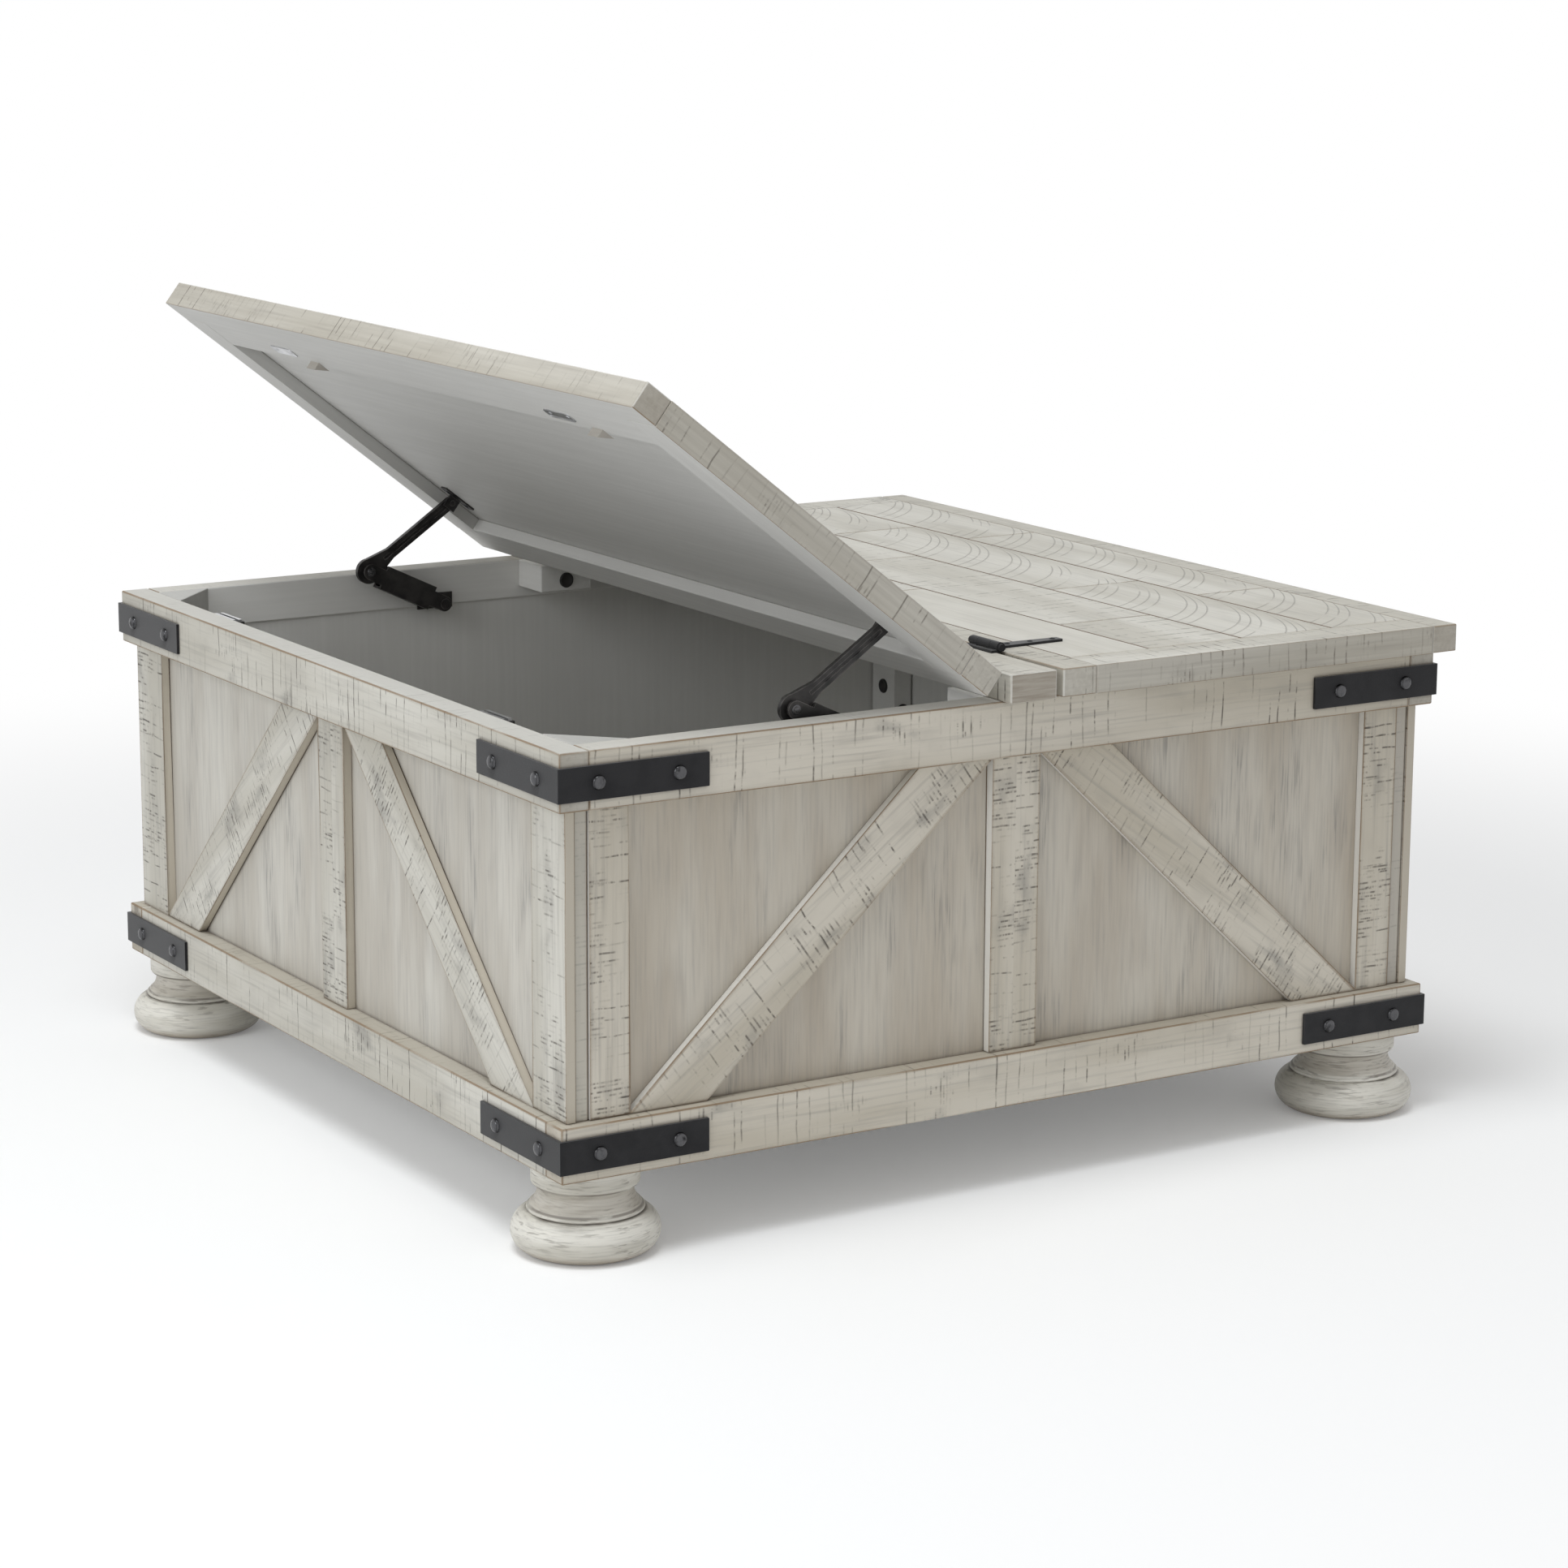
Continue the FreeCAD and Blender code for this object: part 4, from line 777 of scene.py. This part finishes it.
# %% [markdown]
# ## Iron, steel and dark plastic
#
# The straps, hinges and stays are powder-coated black: satin, with a fine pebbled skin. Their edges are painted
# paler, partly as rubbed wear and partly as painted highlights where the edges catch the light. The rivets are
# glossy dark steel, and the crown of each dome is painted paler, partly as wear and partly as a painted highlight.
# The stays are thinly coated, and their edges are painted bright, as wear and as painted highlights. The catch
# plates are brushed steel, and the catches and bolt caps are matt plastic.

# %% Paint the metal and plastic
BLACK, BLACK_WEAR_AND_HIGHLIGHT = (0.0070, 0.0070, 0.0085), (0.075, 0.074, 0.078)
RIVET_BLACK, RIVET_WEAR_AND_HIGHLIGHT = (0.012, 0.012, 0.013), (0.095, 0.095, 0.100)
STAY_BLACK, STAY_WEAR_AND_HIGHLIGHT = (0.016, 0.015, 0.015), (0.230, 0.215, 0.205)
DARK_STEEL, PALE_STEEL = (0.48, 0.485, 0.50), (0.66, 0.665, 0.68)
DARK_PLASTIC, PALE_PLASTIC = (0.020, 0.019, 0.018), (0.034, 0.032, 0.030)
IRON_WEAR, STAY_WEAR, PEBBLES = 0.0012, 0.0014, 900.0


def iron_finish():
    material, place, _ = start_material("black_iron", 0.20, Sheen_Weight=0.35, Sheen_Roughness=0.4)
    pebble = place.noise(PEBBLES, 2.0)
    cloud = place.noise(40.0, 3.0)
    # Paler edges: rubbed wear and painted highlights.
    worn = edge_wear(place, IRON_WEAR).smooth(0.05, 0.25) * cloud.smooth(0.40, 0.60)
    colour = (cloud.smooth(0.3, 0.7) * 0.12 + worn * 0.7).tint(BLACK, BLACK_WEAR_AND_HIGHLIGHT)
    return close_material(material, colour, 0.42 + cloud * 0.16, pebble, 0.00012)


def rivet_finish():
    material, place, facing = start_material("rivet_iron", 0.40, Metallic=0.7)
    x, y, _ = facing.split()
    cloud = place.noise(160.0, 2.0)
    # The paler crown of each dome is wear and a painted highlight.
    crown_wear_and_highlight = abs(x).most(abs(y)).smooth(0.55, 0.90) * cloud.smooth(0.20, 0.50)
    colour = crown_wear_and_highlight.tint(RIVET_BLACK, RIVET_WEAR_AND_HIGHLIGHT)
    return close_material(material, colour, 0.16 + cloud * 0.12, cloud, 0.00004)


def stay_finish():
    material, place, _ = start_material("stay_iron", 0.45, Metallic=0.3)
    cloud = place.noise(60.0, 3.0)
    pebble = place.noise(PEBBLES, 2.0)
    # Bright edges: wear and painted highlights.
    worn = edge_wear(place, STAY_WEAR).smooth(0.04, 0.20) * cloud.smooth(0.30, 0.55)
    colour = (cloud.smooth(0.3, 0.7) * 0.15 + worn * 0.8).tint(STAY_BLACK, STAY_WEAR_AND_HIGHLIGHT)
    return close_material(material, colour, 0.34 + cloud * 0.14, pebble, 0.00008)


def steel_finish():
    material, place, _ = start_material("bare_steel", Metallic=1.0)
    brush = place.stretch(1400.0, 40.0, 1400.0).noise(detail=3.0)
    cloud = place.noise(70.0, 3.0)
    colour = cloud.smooth(0.3, 0.7).tint(DARK_STEEL, PALE_STEEL)
    return close_material(material, colour, 0.24 + brush * 0.18, brush, 0.00006)


def plastic_finish():
    material, place, _ = start_material("dark_plastic", 0.40)
    grit = place.noise(1200.0, 2.0)
    cloud = place.noise(60.0, 2.0)
    colour = cloud.smooth(0.3, 0.7).tint(DARK_PLASTIC, PALE_PLASTIC)
    return close_material(material, colour, 0.50 + grit * 0.15, grit, 0.00008)


finish_of = {"black_iron": iron_finish(), "rivet_iron": rivet_finish(), "bare_steel": steel_finish(),
             "dark_plastic": plastic_finish()}
for slot_name, finish in finish_of.items():
    named = [part["node"] for part in frame["record"]["subparts"] if part["material_slot"] == slot_name]
    paint(finish, *named)
stay_links = [f"{hand}_stay_{link}" for hand in HANDS for link in ("arms", "channels", "lid_brackets")]
paint(stay_finish(), *stay_links, "stay_base_brackets")

# %% [markdown]
# ## Small fasteners
#
# In the solid model the screws, rivets, caps and catch plates are plain discs and plates. On the table they are
# pressed and turned parts whose rounded rims catch the light. Each kind is modelled once with bmesh operators,
# kept as a template mesh, and stamped on every place that the model gives, turned by a matrix.

# %% Helpers for templates and pieces
SHARP_ANGLE = math.radians(40)


def add_object(name, data):
    made = bpy.data.objects.new(name, data)
    bpy.context.scene.collection.objects.link(made)
    return made


def close_mesh(name, shape):
    bmesh.ops.recalc_face_normals(shape, faces=shape.faces)
    mesh = bpy.data.meshes.new(name)
    shape.to_mesh(mesh)
    shape.free()
    print(name, "has", len(mesh.polygons), "faces")
    return mesh


def close_template(name, shape):
    bmesh.ops.remove_doubles(shape, verts=shape.verts, dist=WELD_REACH)
    return close_mesh(name, shape)


def stamp(shape, template, matrix):
    """Add a copy of a template at a place."""
    before = len(shape.verts)
    shape.from_mesh(template)
    shape.verts.ensure_lookup_table()
    bmesh.ops.transform(shape, matrix=matrix, verts=shape.verts[before:])


def seat(low, high, outwards):
    """Where a flat piece sits and faces: away from the middle of the table, or towards it."""
    size, base, direction = high - low, (low + high) / 2, Vector()
    axis = min(range(3), key=lambda i: size[i])
    direction[axis] = math.copysign(1.0, base[axis]) * (1.0 if outwards else -1.0)
    base -= direction * size[axis] / 2
    return Matrix.Translation(base) @ direction.to_track_quat("Z", "Y").to_matrix().to_4x4()


def add_piece(name, shape, body, slot_name, *stands_for):
    """Turn a bmesh into a piece that moves with a body and takes the finish of a slot."""
    mesh = close_mesh(name, shape)
    mesh.shade_smooth()
    mesh.set_sharp_from_angle(angle=SHARP_ANGLE)
    mesh.materials.append(finish_of[slot_name])
    piece = add_object(name, mesh)
    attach(piece, body)
    if stands_for:
        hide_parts(*stands_for)
    print(name, "rides on", body)


# %% [markdown]
# Rivets and bolt caps are round, so a short outline is spun about the Z axis. The rivet is a plain dome. The cap
# has a raised rim and a dished middle.

# %% Strap rivets and bolt caps
RIVET_OUTLINE = ((0.0, 0.0), (1.0, 0.0), (0.98, 0.28), (0.90, 0.50), (0.74, 0.72), (0.52, 0.88), (0.27, 0.97),
                 (0.0, 1.0))
CAP_OUTLINE = ((0.0, 0.0), (1.0, 0.0), (1.0, 0.45), (0.94, 0.85), (0.84, 1.0), (0.74, 0.92), (0.62, 0.62),
               (0.0, 0.50))
ROUND_STEPS = 24


def spun(name, outline, radius, rise):
    shape = bmesh.new()
    points = [shape.verts.new((across * radius, 0.0, up * rise)) for across, up in outline]
    edges = [shape.edges.new(pair) for pair in zip(points, points[1:])]
    bmesh.ops.spin(shape, geom=points + edges, axis=(0, 0, 1), cent=(0, 0, 0), dvec=(0, 0, 0), angle=math.tau,
                   steps=ROUND_STEPS, use_merge=True, use_duplicate=False)
    return close_template(name, shape)


def stamp_node(node, outline, outwards, slot_name):
    """Replace every disc of a node by a spun piece of the same size."""
    boxes = solid_boxes(node)
    size = sorted(boxes[0][HIGH] - boxes[0][LOW])
    template = spun(f"{node}_template", outline, size[2] / 2, size[0])
    shape = bmesh.new()
    for low, high in boxes:
        stamp(shape, template, seat(low, high, outwards))
    add_piece(f"{node}_turned", shape, "cabinet", slot_name, node)


stamp_node("strap_rivets", RIVET_OUTLINE, True, "rivet_iron")
stamp_node("bolt_caps", CAP_OUTLINE, False, "dark_plastic")

# %% [markdown]
# The screws of the hinge straps and stay ears have low domed heads with a cross recess. A cone gives the
# head, and two insets on its top face leave a ring of sixteen corners in the middle. Pulling the corners
# between the arms inwards turns that ring into a cross, which is then extruded down.

# %% Template of a screw head
head_low, head_high = solid_boxes("right_lid_screws")[0]
HEAD_RADIUS, HEAD_RISE = (head_high.x - head_low.x) / 2, head_high.z - head_low.z
CROSS_ARM, CROSS_HALF = HEAD_RADIUS * 0.52, HEAD_RADIUS * 0.13


def to_cross(value, other):
    reach = CROSS_ARM if abs(value) > abs(other) * 1.1 else min(abs(value), CROSS_HALF)
    return math.copysign(reach, value)


shape = bmesh.new()
bmesh.ops.create_cone(shape, cap_ends=True, segments=16, radius1=HEAD_RADIUS, radius2=HEAD_RADIUS * 0.90,
                      depth=HEAD_RISE * 0.5)
bmesh.ops.translate(shape, verts=shape.verts, vec=(0, 0, HEAD_RISE * 0.25))
top = max(shape.faces, key=lambda face: face.calc_center_median().z)
bmesh.ops.inset_region(shape, faces=[top], thickness=HEAD_RADIUS * 0.24)
bmesh.ops.translate(shape, verts=top.verts, vec=(0, 0, HEAD_RISE * 0.5))
bmesh.ops.inset_region(shape, faces=[top], thickness=HEAD_RADIUS * 0.04)
for vert in top.verts:
    vert.co.x, vert.co.y = to_cross(vert.co.x, vert.co.y), to_cross(vert.co.y, vert.co.x)
recess = bmesh.ops.extrude_discrete_faces(shape, faces=[top])["faces"][0]
bmesh.ops.translate(shape, verts=recess.verts, vec=(0, 0, -HEAD_RISE * 0.6))
screw_head = close_template("screw_head_template", shape)

# %% [markdown]
# The catch plates under the lids are thin pressed steel with round ends, a raised rim and two small screws. A
# cube scaled to the plate gets its upright edges bevelled to half rounds, and two insets sink the middle.

# %% Template of a catch plate
plate_low, plate_high = solid_boxes("right_lid_strike_plates")[0]
plate_size = plate_high - plate_low
END_ROUND, RIM_WIDTH, RIM_SLOPE, DISH = plate_size.x * 0.28, 0.0010, 0.0006, 0.0005
PLATE_SCREW_AT, PLATE_SCREW_SCALE = plate_size.y * 0.34, (0.8, 0.8, 0.5, 1.0)

shape = bmesh.new()
bmesh.ops.create_cube(shape, size=1.0)
bmesh.ops.scale(shape, verts=shape.verts, vec=plate_size)
bmesh.ops.translate(shape, verts=shape.verts, vec=(0, 0, plate_size.z / 2))
uprights = [edge for edge in shape.edges if abs(edge.verts[0].co.z - edge.verts[1].co.z) > plate_size.z / 2]
bmesh.ops.bevel(shape, geom=uprights, offset=END_ROUND, affect="EDGES", segments=6, profile=0.5, material=-1)
middle = max(shape.faces, key=lambda face: face.calc_center_median().z)
bmesh.ops.inset_region(shape, faces=[middle], thickness=RIM_WIDTH)
bmesh.ops.inset_region(shape, faces=[middle], thickness=RIM_SLOPE)
bmesh.ops.translate(shape, verts=middle.verts, vec=(0, 0, -DISH))
for side in (-1, 1):
    stamp(shape, screw_head, Matrix.Translation((0, side * PLATE_SCREW_AT, plate_size.z - DISH))
          @ Matrix.Diagonal(PLATE_SCREW_SCALE))
catch_plate = close_template("catch_plate_template", shape)

# %% [markdown]
# The two lids mirror each other, so both kinds are stamped in the shut position of the right lid, and a
# second matrix carries them to the lid that they belong to. For the left lid it mirrors them in X and swings
# them up about the hinge. A mirror turns faces inside out, which `add_piece` puts right.

# %% Screws and catch plates of the lids
swing = Matrix.Translation(hinge) @ Matrix.Rotation(lid_opening, 4, "Y") @ Matrix.Translation(-hinge)
lid_place = {"right": Matrix.Identity(4), "left": swing @ Matrix.Scale(-1.0, 4, (1.0, 0.0, 0.0))}

for hand in HANDS:
    heads, plates = bmesh.new(), bmesh.new()
    for low, high in solid_boxes("right_lid_screws"):
        stamp(heads, screw_head, lid_place[hand] @ seat(low, high, low.z > top_z))
    for low, high in solid_boxes("right_lid_strike_plates"):
        stamp(plates, catch_plate, lid_place[hand] @ seat(low, high, False))
    add_piece(f"{hand}_lid_screw_heads", heads, f"{hand}_lid", "black_iron", f"{hand}_lid_screws")
    add_piece(f"{hand}_lid_catch_plates", plates, f"{hand}_lid", "bare_steel", f"{hand}_lid_strike_plates")

# %% [markdown]
# Each stay folds at an elbow on a rivet. Its peened heads are wider than the pin of the solid model, so a
# spun head is set over both ends of every pin. The heads ride on the channel, the lower link of the stay.

# %% Rivet heads on the stay elbows
ELBOW_RADIUS, ELBOW_RISE, ELBOW_SET = 0.0046, 0.0020, 0.0004
ELBOW_OUTLINE = ((0.0, 0.0), (1.0, 0.0), (1.0, 0.30), (0.90, 0.46), (0.62, 0.50), (0.56, 0.86), (0.40, 1.0),
                 (0.0, 1.0))
elbow_head = spun("elbow_head_template", ELBOW_OUTLINE, ELBOW_RADIUS, ELBOW_RISE)

for hand in HANDS:
    elbow = Vector(joints[f"{hand}_stay_elbow"]["pos_m"])
    shape = bmesh.new()
    for low, high in solid_boxes(f"{hand}_stay_channels"):
        for end, direction in ((low.y, -1.0), (high.y, 1.0)):
            foot = Vector((elbow.x, end + direction * (ELBOW_SET - ELBOW_RISE), elbow.z))
            stamp(shape, elbow_head, Matrix.Translation(foot) @ Matrix.Rotation(-direction * math.pi / 2, 4, "X"))
    add_piece(f"{hand}_stay_elbow_rivets", shape, f"{hand}_stay_lower", "rivet_iron")

# %% [markdown]
# ## The studio and the camera
#
# The camera stands where the photographer's did. Its place, direction and focal length were fitted to the
# corners of the rails, lids and straps in the picture. The floor is a white sheet and the world is white, so the
# only tone on the ground is the table's own shadow.

# %% Camera
PHOTO_SIDE_PX = 1932
PHOTO_FOCAL_PX = 5159.1
SENSOR_MM = 36.0
CAMERA_PLACE = Vector((-2.0726, -3.4180, 1.1611))
CAMERA_YAW = math.radians(-31.651)
CAMERA_PITCH = math.radians(12.379)
CAMERA_ROLL = math.radians(0.290)

camera_data = bpy.data.cameras.new("photo_camera")
camera_data.sensor_width = SENSOR_MM
camera_data.lens = PHOTO_FOCAL_PX / PHOTO_SIDE_PX * SENSOR_MM
camera = add_object("photo_camera", camera_data)
camera.matrix_world = (Matrix.Translation(CAMERA_PLACE) @ Matrix.Rotation(CAMERA_YAW, 4, "Z")
                       @ Matrix.Rotation(math.radians(90) - CAMERA_PITCH, 4, "X")
                       @ Matrix.Rotation(CAMERA_ROLL, 4, "Z"))
bpy.context.scene.camera = camera
print("lens", round(camera_data.lens, 1), "mm")

# %% [markdown]
# The floor is plain white card. Near the table it is an ordinary matt surface that takes the shadow. Further
# out it fades to plain white for the camera and for reflections, so that it has no horizon.

# %% Floor
FLOOR_HALF = 30.0
FLOOR_WHITE = (0.97, 0.97, 0.97, 1.0)
FADE_FROM, FADE_TO = 1.0, 2.2
NEAR_GLOW = 0.12


def seen_directly(tree):
    """1 for what the camera sees straight, in a mirror or through glass; 0 for light that bounces."""
    start = Field(tree, None)
    seen = start.node("ShaderNodeLightPath", output="Is Camera Ray")
    for ray in ("Is Glossy Ray", "Is Transmission Ray"):
        seen = seen.most(start.node("ShaderNodeLightPath", output=ray))
    return seen


floor_mesh = bpy.data.meshes.new("studio_floor")
shape = bmesh.new()
bmesh.ops.create_grid(shape, x_segments=1, y_segments=1, size=FLOOR_HALF)
shape.to_mesh(floor_mesh)
shape.free()
floor = add_object("studio_floor", floor_mesh)
card, place, _ = start_material("studio_floor", 0.1, Roughness=0.9, Base_Color=FLOOR_WHITE)
card_tree = card.node_tree
distance = place.node("ShaderNodeVectorMath", {"operation": "LENGTH"}, {0: place}, "Value")
glow = place.node("ShaderNodeEmission", {}, {"Color": (1.0, 1.0, 1.0), "Strength": 1.0})
matt = Field(card_tree, card_tree.nodes["Principled BSDF"].outputs["BSDF"])
far = (distance.smooth(FADE_FROM, FADE_TO) * (1 - NEAR_GLOW) + NEAR_GLOW) * seen_directly(card_tree)
mixed = far.node("ShaderNodeMixShader", {}, {0: far, 1: matt, 2: glow})
card_tree.links.new(mixed.socket, card_tree.nodes["Material Output"].inputs["Surface"])
floor_mesh.materials.append(card)

print("floor is", 2 * FLOOR_HALF, "m wide")

# %% [markdown]
# The world lights everything softly from all round. One broad lamp overhead and one at the left model the forms
# and light the inside.

# %% World and lamps
WORLD_LIGHT = 0.48
DAYLIGHT = (0.955, 0.982, 1.0)

world = bpy.data.worlds.new("studio")
bpy.context.scene.world = world
world.use_nodes = True
backdrop = world.node_tree.nodes["Background"]
backdrop.inputs["Color"].default_value = (1.0, 1.0, 1.0, 1.0)
level = seen_directly(world.node_tree) * (1.0 - WORLD_LIGHT) + WORLD_LIGHT
world.node_tree.links.new(level.socket, backdrop.inputs["Strength"])


def soft_lamp(name, place, target, size, power):
    lamp = bpy.data.lights.new(name, "AREA")
    lamp.shape = "SQUARE"
    lamp.size = size
    lamp.energy = power
    lamp.color = DAYLIGHT
    holder = add_object(name, lamp)
    holder.location = place
    holder.rotation_euler = (Vector(target) - Vector(place)).to_track_quat("-Z", "Y").to_euler()


soft_lamp("key", (-1.3, -0.8, 4.6), (0, 0, 0.3), 2.0, 104)
soft_lamp("side_fill", (-4.3, -1.0, 2.5), (0, 0, 0.4), 2.2, 52)
bpy.context.scene.view_settings.view_transform = "Standard"
print("studio ready")
